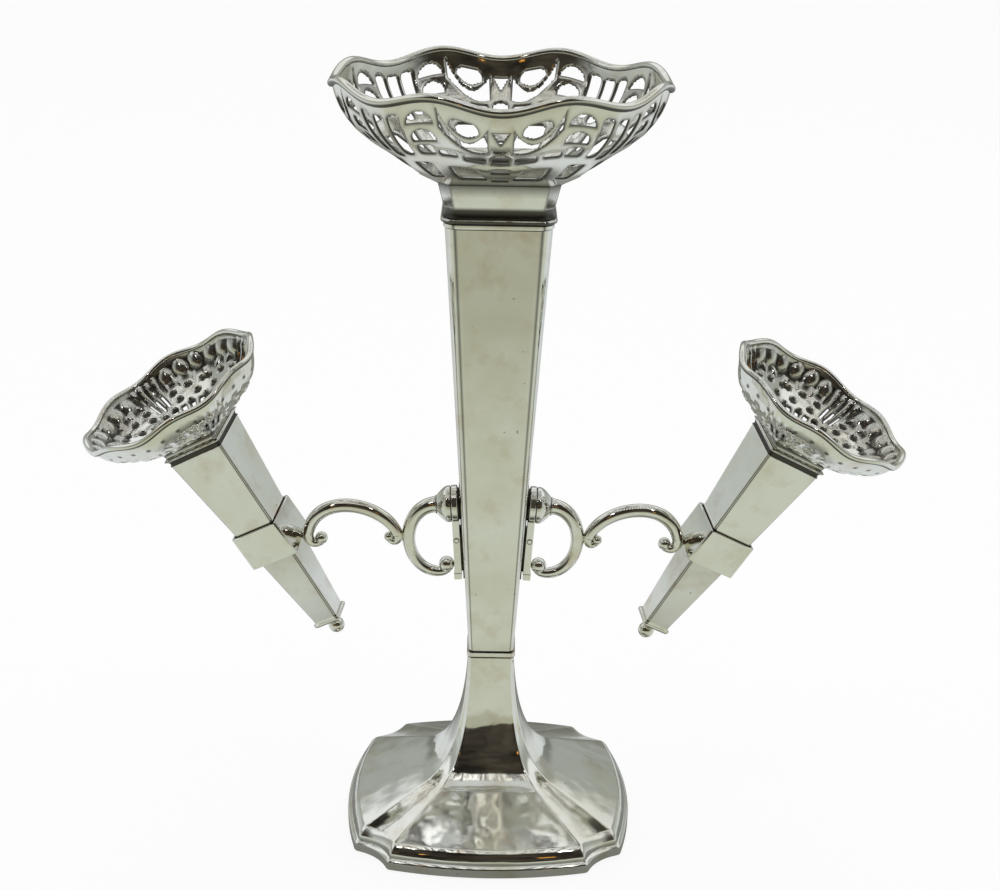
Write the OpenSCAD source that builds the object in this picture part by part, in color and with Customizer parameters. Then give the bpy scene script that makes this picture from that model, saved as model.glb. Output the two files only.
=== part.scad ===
// Table epergne in plated silver: a square foot and column carry a pierced bowl,
// and two lift-off arms hold tilted flower vases. Sizes in millimetres, +Z up,
// origin under the middle of the foot, arms along X.

/* [Foot] */
// Reach of the foot from the axis to the middle of a side
foot_reach = 54; // [48:0.5:64]
// How far the middle of each foot side bows out
foot_bow = 4.8; // [2:0.1:8]
// Half length of a foot side, up to its corner notch
foot_side_half = 36.7; // [32:0.1:40]
// Depth of the hollow in each corner notch
foot_notch = 2.2; // [1:0.1:5]
// Height of the rim that the foot stands on
rim_h = 4.4; // [2:0.1:6]
// Width of the rim's underside
rim_w = 3; // [2.6:0.1:5]
// Step in from the rim to the foot's roll
rim_step = 1.4; // [0.8:0.1:2]
// Upright fillet under the roll
roll_fillet = 0.6; // [0.4:0.1:2]
// Width of the roll
roll_w = 4.4; // [3:0.1:7]
// Height of the roll
roll_h = 4.4; // [2:0.1:6]
// Slope of the foot's four panels, in degrees
panel_slope = 22.5; // [18:0.5:34]
// Reach at which the panels turn up into the neck
hollow_reach = 26; // [20:0.5:32]
// Height of the foot
foot_h = 66; // [58:0.5:90]
// Half width of the foot's neck at its top
neck_half = 8.6; // [8.4:0.1:10]
// Corner chamfer of the foot's neck
neck_chamfer = 1.4; // [0.8:0.1:3]
// Thickness of the foot's sheet
foot_wall = 1.4; // [0.8:0.1:2]

/* [Column] */
// Height of the bead between the foot and the column
bead_h = 3.2; // [2:0.1:6]
// How far the bead stands out from the neck
bead_out = 0.4; // [0.2:0.1:1.5]
// Length of the column
column_len = 162.4; // [130:0.1:200]
// Half width of the column at its foot
column_low = 8.35; // [7.8:0.05:9]
// Half width of the column at its top
column_high = 18.55; // [15:0.05:24]
// Corner chamfer at the column's foot
chamfer_low = 1.2; // [0.8:0.1:2]
// Corner chamfer at the column's top
chamfer_high = 3.4; // [2:0.1:5]
// Thickness of the column's sheet
column_wall = 1; // [0.6:0.1:1.6]
// Length of the plug in the column's foot
plug_len = 8; // [5:0.5:14]

/* [Tie screw] */
// Diameter of the stud that ties the column to the foot
stud_d = 5; // [3:0.5:6]
// Diameter of the washer
washer_d = 11; // [9.5:0.5:12]
// Thickness of the washer
washer_t = 1; // [0.6:0.1:2]
// Width of the nut across its flats
nut_flats = 8; // [7:0.5:9]
// Height of the nut
nut_h = 4; // [3:0.5:6]
// Length of stud showing under the nut
stud_tail = 2; // [1:0.5:5]
// Play between the stud and its holes, all round
thread_gap = 0.05; // [0.02:0.01:0.2]

/* [Centre bowl] */
// Height of the moulding on top of the column
moulding_h = 7; // [4:0.1:10]
// How far the moulding stands out from the column
moulding_out = 1.5; // [1:0.1:3]
// Half width of the bowl's square neck
bowl_neck_half = 18.8; // [18.7:0.1:24]
// Corner chamfer of the bowl's neck
bowl_neck_chamfer = 3.6; // [2:0.1:5]
// Height of the bowl's plain neck, up to the crease where the bowl opens
bowl_neck_h = 8.8; // [6:0.1:14]
// How far each side of the neck leans out
bowl_neck_flare = 2.1; // [0.5:0.1:4]
// Height of the bowl from its foot to the low points of its edge
bowl_h = 40.75; // [34:0.25:56]
// Radius of the bowl's edge
bowl_r = 57.5; // [50:0.5:70]
// Rise of the edge's waves
bowl_wave = 2.5; // [1:0.1:5]
// Thickness of the bowl's sheet
bowl_wall = 1.2; // [0.8:0.1:1.8]
// Radius of the wire on the bowl's edge
bowl_wire_r = 1.5; // [1:0.1:2.5]

/* [Arms] */
// Height of the arm's ferrule on the column
bracket_z = 124.9; // [112:0.1:160]
// Thickness of the rail plate on the column
plate_t = 0.6; // [0.4:0.1:1.2]
// Width of the rail plate
plate_w = 7; // [5:0.5:9]
// Length of the rail
rail_len = 17.5; // [12:0.5:22]
// Width of the rail's neck
rail_neck_w = 2.4; // [1.6:0.1:3]
// Width of the rail's head
rail_head_w = 4.8; // [3.6:0.1:5.6]
// Thickness of the rail's head
rail_head_t = 1; // [0.6:0.1:1.6]
// Play between the rail and the arm's bar
slide_gap = 0.1; // [0.05:0.01:0.25]
// Distance from the rail plate to the arm's bar
bar_off = 0.6; // [0.3:0.1:1.2]
// Width of the arm's bar
bar_w = 7.2; // [6.6:0.1:9]
// Thickness of the bar's lips and of its front wall
bar_wall = 0.65; // [0.5:0.05:1]
// Height of the moulded tip of the bar
bar_tip_h = 2.2; // [1:0.1:4]
// How far the tip stands out from the bar
bar_tip_out = 0.3; // [0.1:0.1:0.5]
// Diameter of the locking screw in the bar
lock_d = 2.2; // [1.4:0.1:2.4]
// Height of the locking screw under the ferrule's axis
lock_drop = 13.3; // [11:0.1:18]
// Radius of the ferrule's band
ferrule_r = 6.9; // [5.5:0.1:8]
// Length of the ferrule's band
ferrule_band = 3.2; // [2.5:0.1:4.5]
// Length of the ferrule's dome
ferrule_dome = 5.2; // [4:0.1:8]
// Radius of the inner scroll where it leaves the ferrule
scroll_r = 3.1; // [2:0.1:4]
// Radius of the inner scroll at its end
scroll_end_r = 2.1; // [1.4:0.1:2.5]
// Reach of the inner scroll from the ferrule
scroll_reach = 10.6; // [7:0.1:16]
// Drop of the inner scroll from the ferrule's axis
scroll_drop = 25.4; // [22:0.1:30]
// Radius of the ball at the inner scroll's end
scroll_ball_r = 3; // [2.5:0.1:4]
// Radius of the outer scroll's rod
arch_r = 2.6; // [1.6:0.1:3.2]
// Rise of the outer scroll's arch
arch_rise = 10; // [6:0.1:15]
// Radius of the balls at the outer scroll's ends
arch_ball_r = 2.45; // [2:0.05:3.2]

/* [Vases] */
// Tilt of the vases from upright, in degrees
vase_tilt = 31; // [24:0.5:40]
// Lean of the vases to the front, in degrees
vase_lean = 6; // [0:0.5:10]
// Turn of the vases on their own axes, inner sides to the front, in degrees
vase_turn = 14; // [0:1:20]
// Distance from the column's axis to the ball under each vase
vase_reach = 58.5; // [52:0.1:80]
// Height of the ball under each vase
vase_z = 72.8; // [60:0.1:90]
// Radius of the ball under each vase
vase_ball_r = 3; // [2:0.1:4]
// Length of the neck between the ball and the cap
finial_neck = 0.4; // [0.2:0.1:1]
// Height of the moulded cap above the ball
cap_h = 3; // [2.4:0.1:6]
// How far the cap stands out from the vase
cap_out = 0.8; // [0.3:0.1:1.6]
// Length of the tapered vase tube
vase_len = 83; // [70:0.5:110]
// Half width of the vase tube at its foot
vase_low = 4.9; // [4:0.1:6]
// Half width of the vase tube at its top
vase_high = 11.2; // [9.5:0.1:14]
// Corner chamfer of the vase tube
vase_chamfer = 0.8; // [0.7:0.1:1.4]
// Thickness of the vase's sheet
vase_wall = 0.9; // [0.6:0.1:1.1]
// Height of the moulding under each vase bowl
vase_moulding_h = 3; // [2:0.1:5]
// How far that moulding stands out from the vase
vase_moulding_out = 1.2; // [0.5:0.1:2.5]
// Depth of the cove in that moulding
vase_cove = 0.5; // [0.2:0.1:0.6]
// Height of each vase bowl's plain neck
vase_neck_h = 2; // [1:0.1:4]
// How far that neck leans out
vase_neck_flare = 0.4; // [0.2:0.1:1.5]
// Height of each vase bowl from its foot to the low points of its edge
vase_bowl_h = 19; // [15:0.25:28]
// Radius of each vase bowl's edge
vase_bowl_r = 34.6; // [28:0.1:42]
// Rise of the waves of its edge
vase_wave = 1.8; // [0.5:0.1:3]
// Radius of the wire on its edge
vase_wire_r = 1.1; // [0.8:0.1:1.8]
// Distance along the vase from its foot to the sleeve
sleeve_at = 32.3; // [26:0.1:40]
// Height of the sleeve that holds the vase
sleeve_h = 14.4; // [10:0.1:20]
// Thickness of the sleeve's wall at its top
sleeve_wall = 1.1; // [0.6:0.1:1.6]
// Play between the vase and the sleeve's top, all round
sleeve_gap = 0.3; // [0.15:0.05:0.4]
// Play where the vase seats in the sleeve's foot
seat_gap = 0.05; // [0.02:0.01:0.1]

/* [Hidden] */
$fn = 48;
SILVER = "#c3c7c3";
SIDES = ["left", "right"];

// Points on one foot side and on one corner notch
side_n = 6;
corner_n = 4;
// Points round a rod and round an edge wire, and waves on an edge
rod_n = 12;
wire_n = 6;
waves = 8;

// Heights up the axis
column_z = foot_h + bead_h;
column_top = column_z + column_len;
bowl_z = column_top + moulding_h;
// Foot neck's closed top, pierced for the stud
neck_plate = foot_wall;
stud_hole_r = stud_d / 2 + thread_gap;

// Column side: its half width at a height, and its lean from upright
function column_half(z) = column_low + (column_high - column_low) * (z - column_z) / column_len;
column_lean = atan((column_high - column_low) / column_len);
bracket_x = column_half(bracket_z);

// Bracket frame: x out from the column's side, z up along it, origin at the ferrule's axis
bar_x = plate_t + bar_off;
head_x = bar_x + bar_wall + slide_gap;
bar_t = 2 * bar_wall + rail_head_t + 2 * slide_gap;
bar_front = bar_x + bar_t;
rail_top = -ferrule_r - 2;
rail_low = rail_top - rail_len;
bar_low = rail_low - slide_gap;
bar_root = -ferrule_r / 2;
ferrule_end = bar_x + ferrule_band + ferrule_dome;
scroll_c = [ferrule_end, -scroll_drop / 2];

// Vase frame: z along the vase's axis, origin at its ball
cap_low = vase_ball_r + finial_neck;
tube_low = cap_low + cap_h;
tube_top = tube_low + vase_len;
vase_bowl_z = tube_top + vase_moulding_h;
sleeve_low = tube_low + sleeve_at;
sleeve_top = sleeve_low + sleeve_h;
function vase_half(t) = vase_low + (vase_high - vase_low) * (t - tube_low) / vase_len;
sleeve_half = vase_half(sleeve_top) + sleeve_gap + sleeve_wall;
// Where the arm meets the sleeve, about which the vase leans and turns
sleeve_joint = sleeve_low + 0.3 * sleeve_h;

function lerp(a, b, t) = a + (b - a) * t;
function unit(v) = v / norm(v);
function turn(p, a) = [p[0] * cos(a) - p[1] * sin(a), p[0] * sin(a) + p[1] * cos(a)];
function ring(pts, z) = [for (p = pts) [p[0], p[1], z]];
function bezier(p, t) = pow(1 - t, 3) * p[0] + 3 * t * pow(1 - t, 2) * p[1]
    + 3 * t * t * (1 - t) * p[2] + pow(t, 3) * p[3];

// A profile moved off itself by a sheet's thickness, to its inner side
function inset(p, t) = [for (i = [0:len(p) - 1])
    let(d = unit(p[min(i + 1, len(p) - 1)] - p[max(i - 1, 0)])) p[i] + t * [-d[1], d[0]]];

// Square outline with chamfered corners
function square_plan(half, chamfer) = [for (k = [0:3])
    each [turn([half, chamfer - half], 90 * k), turn([half, half - chamfer], 90 * k)]];
// Chamfer left when a chamfered square is drawn in by a wall
function inner_chamfer(chamfer, wall) = max(chamfer - wall * (2 - sqrt(2)), 0.05);

// Foot outline at a reach: from the bowed, notched foot to the plain neck
function foot_quarter(reach) = let(
    k = (reach - neck_half) / (foot_reach - neck_half),
    half = lerp(neck_half - neck_chamfer, foot_side_half, k),
    bow = foot_bow * k,
    end = reach - bow)
    concat([for (i = [0:side_n]) let(t = 2 * i / side_n - 1) [reach - bow * t * t, half * t]],
        [for (j = [1:corner_n - 1]) let(u = j / corner_n)
            lerp([end, half], [half, end], u) - foot_notch * k * 4 * u * (1 - u) * [1, 1] / sqrt(2)]);
function foot_plan(reach) = [for (k = [0:3]) each [for (p = foot_quarter(reach)) turn(p, 90 * k)]];

// Foot profile, reach and height: fillet, roll, sloping panel, then a hollow rising to the neck
roll_z = rim_h + roll_fillet;
panel_reach = foot_reach - rim_step - roll_w;
panel_low = roll_z + roll_h;
panel_top = panel_low + (panel_reach - hollow_reach) * tan(panel_slope);
hollow_pull = (hollow_reach - neck_half) * 0.6;
hollow_curve = [[hollow_reach, panel_top],
    [hollow_reach - hollow_pull, panel_top + hollow_pull * tan(panel_slope)],
    [neck_half + (hollow_reach - neck_half) * 0.04, lerp(panel_top, foot_h, 0.4)],
    [neck_half, foot_h]];
foot_profile = concat([[foot_reach - rim_step, rim_h]],
    [for (a = [0:18:90]) [panel_reach + roll_w * cos(a), roll_z + roll_h * sin(a)]],
    [for (t = [0:0.1:1.01]) bezier(hollow_curve, min(t, 1))]);

// Closed solid through rings of points; closed = true joins the last ring to the first
module loft(rings, closed = false) {
    n = len(rings[0]);
    m = len(rings);
    walls = [for (k = [0:m - (closed ? 1 : 2)]) for (i = [0:n - 1])
        let(a = k * n + i, b = k * n + (i + 1) % n,
            c = ((k + 1) % m) * n + (i + 1) % n, d = ((k + 1) % m) * n + i)
        each [[a, d, c], [a, c, b]]];
    caps = closed ? [] : [[for (i = [0:n - 1]) i], [for (i = [n - 1:-1:0]) (m - 1) * n + i]];
    polyhedron([for (r = rings) each r], concat(walls, caps), convexity = 6);
}

// Square tube with straight or tapering chamfered walls
module square_tube(z0, z1, half0, half1, chamfer0, chamfer1, wall) {
    in0 = square_plan(half0 - wall, inner_chamfer(chamfer0, wall));
    in1 = square_plan(half1 - wall, inner_chamfer(chamfer1, wall));
    loft([ring(square_plan(half0, chamfer0), z0), ring(square_plan(half1, chamfer1), z1),
        ring(in1, z1), ring(in0, z0)], closed = true);
}

// Square moulding: a profile of half width and height carried round, with a straight opening
module square_moulding(profile, chamfer, bore_half, bore_chamfer) {
    bore = square_plan(bore_half, bore_chamfer);
    loft(concat([for (p = profile) ring(square_plan(p[0], chamfer), p[1])],
        [ring(bore, profile[len(profile) - 1][1]), ring(bore, profile[0][1])]), closed = true);
}

// Column moulding profile: a fillet, a half-round bead, then a cove drawn in to the bowl's neck
function bead_profile(half, out, z, h) = concat(
    [[half, z], [half + out * 0.3, z + h * 0.05], [half + out * 0.3, z + h * 0.33]],
    [for (a = [-90:30:90]) [half + out * (0.45 + 0.55 * cos(a)), z + h * (0.48 + 0.13 * sin(a))]],
    [for (a = [15:25:90]) [half + out * (0.45 - 0.35 * sin(a)), z + h * (1 - 0.39 * cos(a))]]);
// Vase moulding profile: a crisp edge, a cove let in, then a fillet under the bowl
function cove_profile(half, out, cove, z, h) = concat(
    [[half, z], [half + out * 0.2, z + h * 0.12]],
    [for (a = [30:30:180]) [half - cove * sin(a) + out * 0.4 * a / 180, z + h * (0.15 + 0.45 * a / 180)]],
    [[half + out, z + h * 0.66], [half + out, z + h]]);

// Rod along a flat path of x, z points, with a radius at each point
module rod(path, radii) {
    last = len(path) - 1;
    loft([for (k = [0:last]) let(d = unit(path[min(k + 1, last)] - path[max(k - 1, 0)]))
        [for (i = [0:rod_n - 1]) let(a = 360 * i / rod_n, e = radii[k] * cos(a))
            [path[k][0] + e * d[1], radii[k] * sin(a), path[k][1] - e * d[0]]]]);
}

// Rise of a waved edge at an angle: low at the middle of each side and at each corner
function wave(rise, angle) = rise * (1 - cos(waves * angle)) / 2;

// Wire round a waved edge
module edge_wire(edge_r, z, rise, wire_r) {
    steps = waves * 8;
    loft([for (k = [0:steps - 1]) let(q = 360 * k / steps)
        [for (i = [0:wire_n - 1]) let(a = 360 * i / wire_n, r = edge_r + wire_r * sin(a))
            [r * cos(q), r * sin(q), z + wave(rise, q) + wire_r * cos(a)]]], closed = true);
}

// Widths in degrees of the holes (even places) and bars (odd places) round a quarter of a bowl
QUARTER = [6.4, 3.4, 10.5, 3.5, 13, 2.4, 5, 1.6, 4.8, 1.6, 5, 2.4, 13, 3.5, 10.5, 3.4];
quarter_n = len(QUARTER);
function sum_to(list, n) = n == 0 ? 0 : list[n - 1] + sum_to(list, n - 1);
bar_angles = [for (k = [0:3]) for (i = [0:quarter_n - 1]) 90 * k - QUARTER[0] / 2 + sum_to(QUARTER, i)];
// Levels up a bowl above its neck, as shares of its curve
LEVELS = [0, 0.2, 0.36, 0.53, 0.57, 0.75, 0.8, 0.93, 1];
// Pierced rows, counted from the neck: three tiers in the centre bowl, two in a vase bowl
BOWL_ROWS = [2, 3, 5, 7];
VASE_ROWS = [2, 5];
// A row between tiers that is open too in the slots at the corners
JOINED_ROW = 6;
CORNER_SLOTS = [6, 8, 10];
function has(list, x) = len(search(x, list)) > 0;
function is_hole(i, j, pierced) = i % 2 == 0 && (has(pierced, j)
    || (j == JOINED_ROW && has(pierced, j + 1) && has(CORNER_SLOTS, i % quarter_n)));
// Half width of a chamfered square at an angle, as a share of its half width at a side's middle
function square_share(half, chamfer, a) = min(1 / max(abs(cos(a)), abs(sin(a))),
    (2 - chamfer / half) / (abs(cos(a)) + abs(sin(a))));
// Pierced bowl: a square neck up to a crease, then a curve out to a round, waved edge
module pierced_bowl(z0, neck, neck_h, flare, chamfer, edge_r, h, rise, wall, pierced) {
    crease = [neck + flare, z0 + neck_h];
    wide = edge_r - crease[0];
    tall = h - neck_h;
    curve = [crease, crease + [wide * 0.22, tall * 0.18],
        crease + [wide * 0.9, tall * 0.28], [edge_r, z0 + h]];
    outer = concat([[neck, z0]], [for (v = LEVELS) bezier(curve, v)]);
    drawn = inset(outer, wall);
    inner = [for (j = [0:len(outer) - 1]) j == 0 ? [neck - wall, z0] : drawn[j]];
    shares = concat([0], LEVELS);
    n = len(bar_angles);
    rows = len(shares) - 1;
    points = [for (skin = [outer, inner]) for (j = [0:rows]) for (a = bar_angles)
        let(v = shares[j],
            r = skin[j][0] * lerp(square_share(neck, chamfer, a), 1, min(v / 0.6, 1)))
        [r * cos(a), r * sin(a), skin[j][1] + wave(rise, a) * v * v]];
    function out_i(i, j) = j * n + (i + n) % n;
    function in_i(i, j) = (rows + 1) * n + out_i(i, j);
    function open(i, j) = j < 0 || j >= rows || is_hole((i + n) % n, j, pierced);
    function edge(i0, j0, i1, j1) = [[out_i(i1, j1), out_i(i0, j0), in_i(i0, j0)],
        [out_i(i1, j1), in_i(i0, j0), in_i(i1, j1)]];
    faces = [for (j = [0:rows - 1]) for (i = [0:n - 1]) if (!open(i, j)) each concat(
        [[out_i(i, j), out_i(i, j + 1), out_i(i + 1, j + 1)],
            [out_i(i, j), out_i(i + 1, j + 1), out_i(i + 1, j)],
            [in_i(i, j), in_i(i + 1, j + 1), in_i(i, j + 1)],
            [in_i(i, j), in_i(i + 1, j), in_i(i + 1, j + 1)]],
        open(i - 1, j) ? edge(i, j, i, j + 1) : [],
        open(i, j + 1) ? edge(i, j + 1, i + 1, j + 1) : [],
        open(i + 1, j) ? edge(i + 1, j + 1, i + 1, j) : [],
        open(i, j - 1) ? edge(i + 1, j, i, j) : [])];
    polyhedron(points, faces, convexity = 10);
}

// Places: one side of the epergne, an arm's bracket on the column, and a vase
module on_side(side) { mirror([side == "left" ? 1 : 0, 0, 0]) children(); }
module at_bracket() { translate([bracket_x, 0, bracket_z]) rotate([0, column_lean, 0]) children(); }
module at_vase() {
    translate([vase_reach, 0, vase_z]) rotate([0, vase_tilt, 0]) translate([0, 0, sleeve_joint])
        rotate([vase_lean, 0, 0]) rotate([0, 0, vase_turn]) translate([0, 0, -sleeve_joint]) children();
}

module foot() {
    color(SILVER) {
        inner = inset(foot_profile, foot_wall);
        low = [foot_reach - rim_step - foot_wall, rim_h];
        under = [for (p = inner) if (p[1] > rim_h + 0.1 && p[1] < foot_h - neck_plate - 1) p];
        top = [neck_half - foot_wall, foot_h - neck_plate];
        hole = [for (p = foot_plan(neck_half)) stud_hole_r * unit(p)];
        loft(concat([for (p = foot_profile) ring(foot_plan(p[0]), p[1])],
            [ring(hole, foot_h), ring(hole, foot_h - neck_plate), ring(foot_plan(top[0]), top[1])],
            [for (i = [len(under) - 1:-1:0]) ring(foot_plan(under[i][0]), under[i][1])],
            [ring(foot_plan(low[0]), low[1])]), closed = true);
    }
}

module foot_rim() {
    color(SILVER) linear_extrude(rim_h) difference() {
        polygon(foot_plan(foot_reach));
        polygon(foot_plan(foot_reach - rim_w));
    }
}

module column_bead() {
    profile = concat([[neck_half, foot_h]],
        [for (a = [-60:30:60]) [neck_half + bead_out * cos(a), foot_h + bead_h * (0.5 + 0.45 * sin(a))]],
        [[column_low, column_z]]);
    color(SILVER) square_moulding(profile, chamfer_low,
        column_low - column_wall, inner_chamfer(chamfer_low, column_wall));
}

module column() {
    color(SILVER) square_tube(column_z, column_top, column_low, column_high,
        chamfer_low, chamfer_high, column_wall);
}

module column_plug() {
    top = column_z + plug_len;
    top_chamfer = lerp(chamfer_low, chamfer_high, plug_len / column_len);
    color(SILVER) difference() {
        loft([ring(square_plan(column_low - column_wall, inner_chamfer(chamfer_low, column_wall)), column_z),
            ring(square_plan(column_half(top) - column_wall, inner_chamfer(top_chamfer, column_wall)), top)]);
        translate([0, 0, column_z - 1]) cylinder(r = stud_hole_r, h = plug_len + 2);
    }
}

module tie_stud() {
    low = foot_h - neck_plate - washer_t - nut_h - stud_tail;
    color("#8c8c86") translate([0, 0, low]) cylinder(d = stud_d, h = column_z + plug_len - low);
}

module tie_washer() {
    color("#8c8c86") translate([0, 0, foot_h - neck_plate - washer_t]) difference() {
        cylinder(d = washer_d, h = washer_t);
        translate([0, 0, -1]) cylinder(r = stud_hole_r, h = washer_t + 2);
    }
}

module tie_nut() {
    color("#8c8c86") translate([0, 0, foot_h - neck_plate - washer_t - nut_h]) difference() {
        cylinder(d = nut_flats / cos(30), h = nut_h, $fn = 6);
        translate([0, 0, -1]) cylinder(r = stud_hole_r, h = nut_h + 2);
    }
}

module column_moulding() {
    color(SILVER) square_moulding(bead_profile(column_high, moulding_out, column_top, moulding_h),
        chamfer_high, column_high - column_wall, inner_chamfer(chamfer_high, column_wall));
}

module centre_bowl() {
    color(SILVER) pierced_bowl(bowl_z, bowl_neck_half, bowl_neck_h, bowl_neck_flare,
        bowl_neck_chamfer, bowl_r, bowl_h, bowl_wave, bowl_wall, BOWL_ROWS);
}

module centre_rim_wire() {
    color(SILVER) edge_wire(bowl_r, bowl_z + bowl_h, bowl_wave, bowl_wire_r);
}

module rail_plate(side) {
    color(SILVER) on_side(side) at_bracket()
        translate([0, -plate_w / 2, rail_low - bar_tip_h]) cube([plate_t, plate_w, ferrule_r - rail_low + bar_tip_h]);
}

// Rail section: a neck on the plate under a wider head; play > 0 gives the slot that takes it
module rail_section(play) {
    translate([plate_t, -rail_neck_w / 2 - play]) square([head_x - plate_t + play, rail_neck_w + 2 * play]);
    translate([head_x - play, -rail_head_w / 2 - play])
        square([rail_head_t + 2 * play, rail_head_w + 2 * play]);
}

module arm_rail(side) {
    color(SILVER) on_side(side) at_bracket() translate([0, 0, rail_low])
        linear_extrude(rail_len) rail_section(0);
}

module bar_section(out) {
    difference() {
        translate([bar_x, -bar_w / 2 - out]) square([bar_t + out, bar_w + 2 * out]);
        rail_section(slide_gap);
    }
}

// Top of the bar, let into the back of the ferrule
module bar_head() {
    translate([bar_x, -bar_w / 2, rail_top + slide_gap]) cube([bar_t, bar_w, bar_root - rail_top - slide_gap]);
}

module lock_bore() {
    depth = (bar_w - rail_head_w) / 2 - slide_gap;
    translate([bar_x + bar_t / 2, -bar_w / 2, -lock_drop]) rotate([-90, 0, 0]) cylinder(d = lock_d, h = depth);
}

module slide_bar(side) {
    color(SILVER) on_side(side) at_bracket() difference() {
        union() {
            translate([0, 0, bar_low]) linear_extrude(rail_top + slide_gap - bar_low) bar_section(0);
            bar_head();
        }
        lock_bore();
    }
}

module bar_tip(side) {
    color(SILVER) on_side(side) at_bracket() translate([0, 0, bar_low - bar_tip_h])
        linear_extrude(bar_tip_h) bar_section(bar_tip_out);
}

module lock_screw(side) {
    color("#8c8c86") on_side(side) at_bracket() lock_bore();
}

module ferrule(side) {
    band_groove = 0.25;
    profile = concat([[0, 0], [ferrule_r, 0], [ferrule_r, ferrule_band * 0.45],
            [ferrule_r - band_groove, ferrule_band * 0.5], [ferrule_r, ferrule_band * 0.55],
            [ferrule_r, ferrule_band]],
        [for (a = [0:15:90]) [scroll_r + (ferrule_r * 0.93 - scroll_r) * cos(a),
            ferrule_band + ferrule_dome * sin(a)]],
        [[0, ferrule_band + ferrule_dome]]);
    color(SILVER) on_side(side) at_bracket() difference() {
        translate([bar_x, 0, 0]) rotate([0, 90, 0]) rotate_extrude() polygon(profile);
        bar_head();
    }
}

// Inner scroll: half an ellipse from the ferrule round to a ball against the bar
module inner_scroll(side) {
    sweep = 188;
    steps = 24;
    path = [for (k = [0:steps]) let(a = sweep * k / steps)
        scroll_c + [scroll_reach * sin(a), scroll_drop / 2 * cos(a)]];
    color(SILVER) on_side(side) at_bracket() {
        rod(path, [for (k = [0:steps]) lerp(scroll_r, scroll_end_r, pow(k / steps, 0.6))]);
        translate([bar_front + scroll_ball_r, 0, scroll_ball_r - scroll_drop - scroll_end_r])
            sphere(scroll_ball_r);
    }
}

// A point of the vase's tilted frame before its lean, and a point seen in the bracket's frame
function vase_point(x, t) = [vase_reach + x * cos(vase_tilt) + t * sin(vase_tilt),
    vase_z - x * sin(vase_tilt) + t * cos(vase_tilt)];
function to_bracket(p) = turn(p - [bracket_x, bracket_z], column_lean);

// Outer scroll: an arch from the inner scroll to the sleeve, with swollen ends and a ball curled in
// at each, let into both by the depth of its solder joints
module outer_scroll(side) {
    bite = 0.5;
    start = [ferrule_end + scroll_reach + scroll_end_r + arch_r - bite, scroll_c[1]];
    finish = to_bracket(vase_point(bite - sleeve_half / cos(vase_turn) - arch_r, sleeve_joint));
    half = norm(finish - start) / 2;
    along = unit(finish - start);
    up = [-along[1], along[0]];
    r = (half * half + arch_rise * arch_rise) / (2 * arch_rise);
    centre = (start + finish) / 2 - up * (r - arch_rise);
    span = asin(half / r);
    steps = 24;
    path = [for (k = [0:steps]) let(a = span * (2 * k / steps - 1))
        centre + r * (sin(a) * along + cos(a) * up)];
    curl = arch_r + arch_ball_r - bite;
    color(SILVER) on_side(side) at_bracket() {
        rod(path, [for (p = path) arch_r]);
        for (end = [path[0], path[steps]]) {
            ball = end + curl * unit(centre - end);
            translate([end[0], 0, end[1]]) sphere(arch_r * 1.08);
            translate([ball[0], 0, ball[1]]) sphere(arch_ball_r);
        }
    }
}

// Sleeve: straight outside, tapered inside to the vase
module sleeve(side) {
    outer = square_plan(sleeve_half, vase_chamfer + sleeve_wall / 2);
    bore = [for (p = [[sleeve_top, sleeve_gap], [sleeve_low, seat_gap]])
        ring(square_plan(vase_half(p[0]) + p[1], vase_chamfer), p[0])];
    color(SILVER) on_side(side) at_vase()
        loft(concat([ring(outer, sleeve_low), ring(outer, sleeve_top)], bore), closed = true);
}

module vase_finial(side) {
    neck_r = vase_ball_r * 0.6;
    color(SILVER) on_side(side) at_vase() {
        sphere(vase_ball_r);
        cylinder(r = neck_r, h = cap_low);
    }
}

module vase_cap(side) {
    wide = vase_low + cap_out;
    profile = [[vase_ball_r * 0.6, cap_low], [wide, cap_low + cap_h * 0.35],
        [wide, cap_low + cap_h * 0.75], [vase_low, tube_low]];
    color(SILVER) on_side(side) at_vase()
        loft([for (p = profile) ring(square_plan(p[0], vase_chamfer), p[1])]);
}

module vase_tube(side) {
    color(SILVER) on_side(side) at_vase()
        square_tube(tube_low, tube_top, vase_low, vase_high, vase_chamfer, vase_chamfer, vase_wall);
}

module vase_moulding(side) {
    color(SILVER) on_side(side) at_vase()
        square_moulding(cove_profile(vase_high, vase_moulding_out, vase_cove, tube_top, vase_moulding_h),
            vase_chamfer, vase_high - vase_wall, inner_chamfer(vase_chamfer, vase_wall));
}

module vase_bowl(side) {
    color(SILVER) on_side(side) at_vase()
        pierced_bowl(vase_bowl_z, vase_high, vase_neck_h, vase_neck_flare, vase_chamfer,
            vase_bowl_r, vase_bowl_h, vase_wave, vase_wall, VASE_ROWS);
}

module vase_rim_wire(side) {
    color(SILVER) on_side(side) at_vase()
        edge_wire(vase_bowl_r, vase_bowl_z + vase_bowl_h, vase_wave, vase_wire_r);
}

foot();
foot_rim();
column_bead();
column();
column_plug();
tie_stud();
tie_washer();
tie_nut();
column_moulding();
centre_bowl();
centre_rim_wire();
for (side = SIDES) {
    rail_plate(side);
    arm_rail(side);
    slide_bar(side);
    bar_tip(side);
    lock_screw(side);
    ferrule(side);
    inner_scroll(side);
    outer_scroll(side);
    sleeve(side);
    vase_finial(side);
    vase_cap(side);
    vase_tube(side);
    vase_moulding(side);
    vase_bowl(side);
    vase_rim_wire(side);
}
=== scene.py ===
"""Table epergne in plated silver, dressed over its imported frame. Sizes are in millimetres until a
mesh is made. +X runs from the column to the right-hand vase, -Y to the front and +Z up."""
import math

import bmesh
import bpy
import numpy as np
from mathutils import Matrix, Vector


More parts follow.
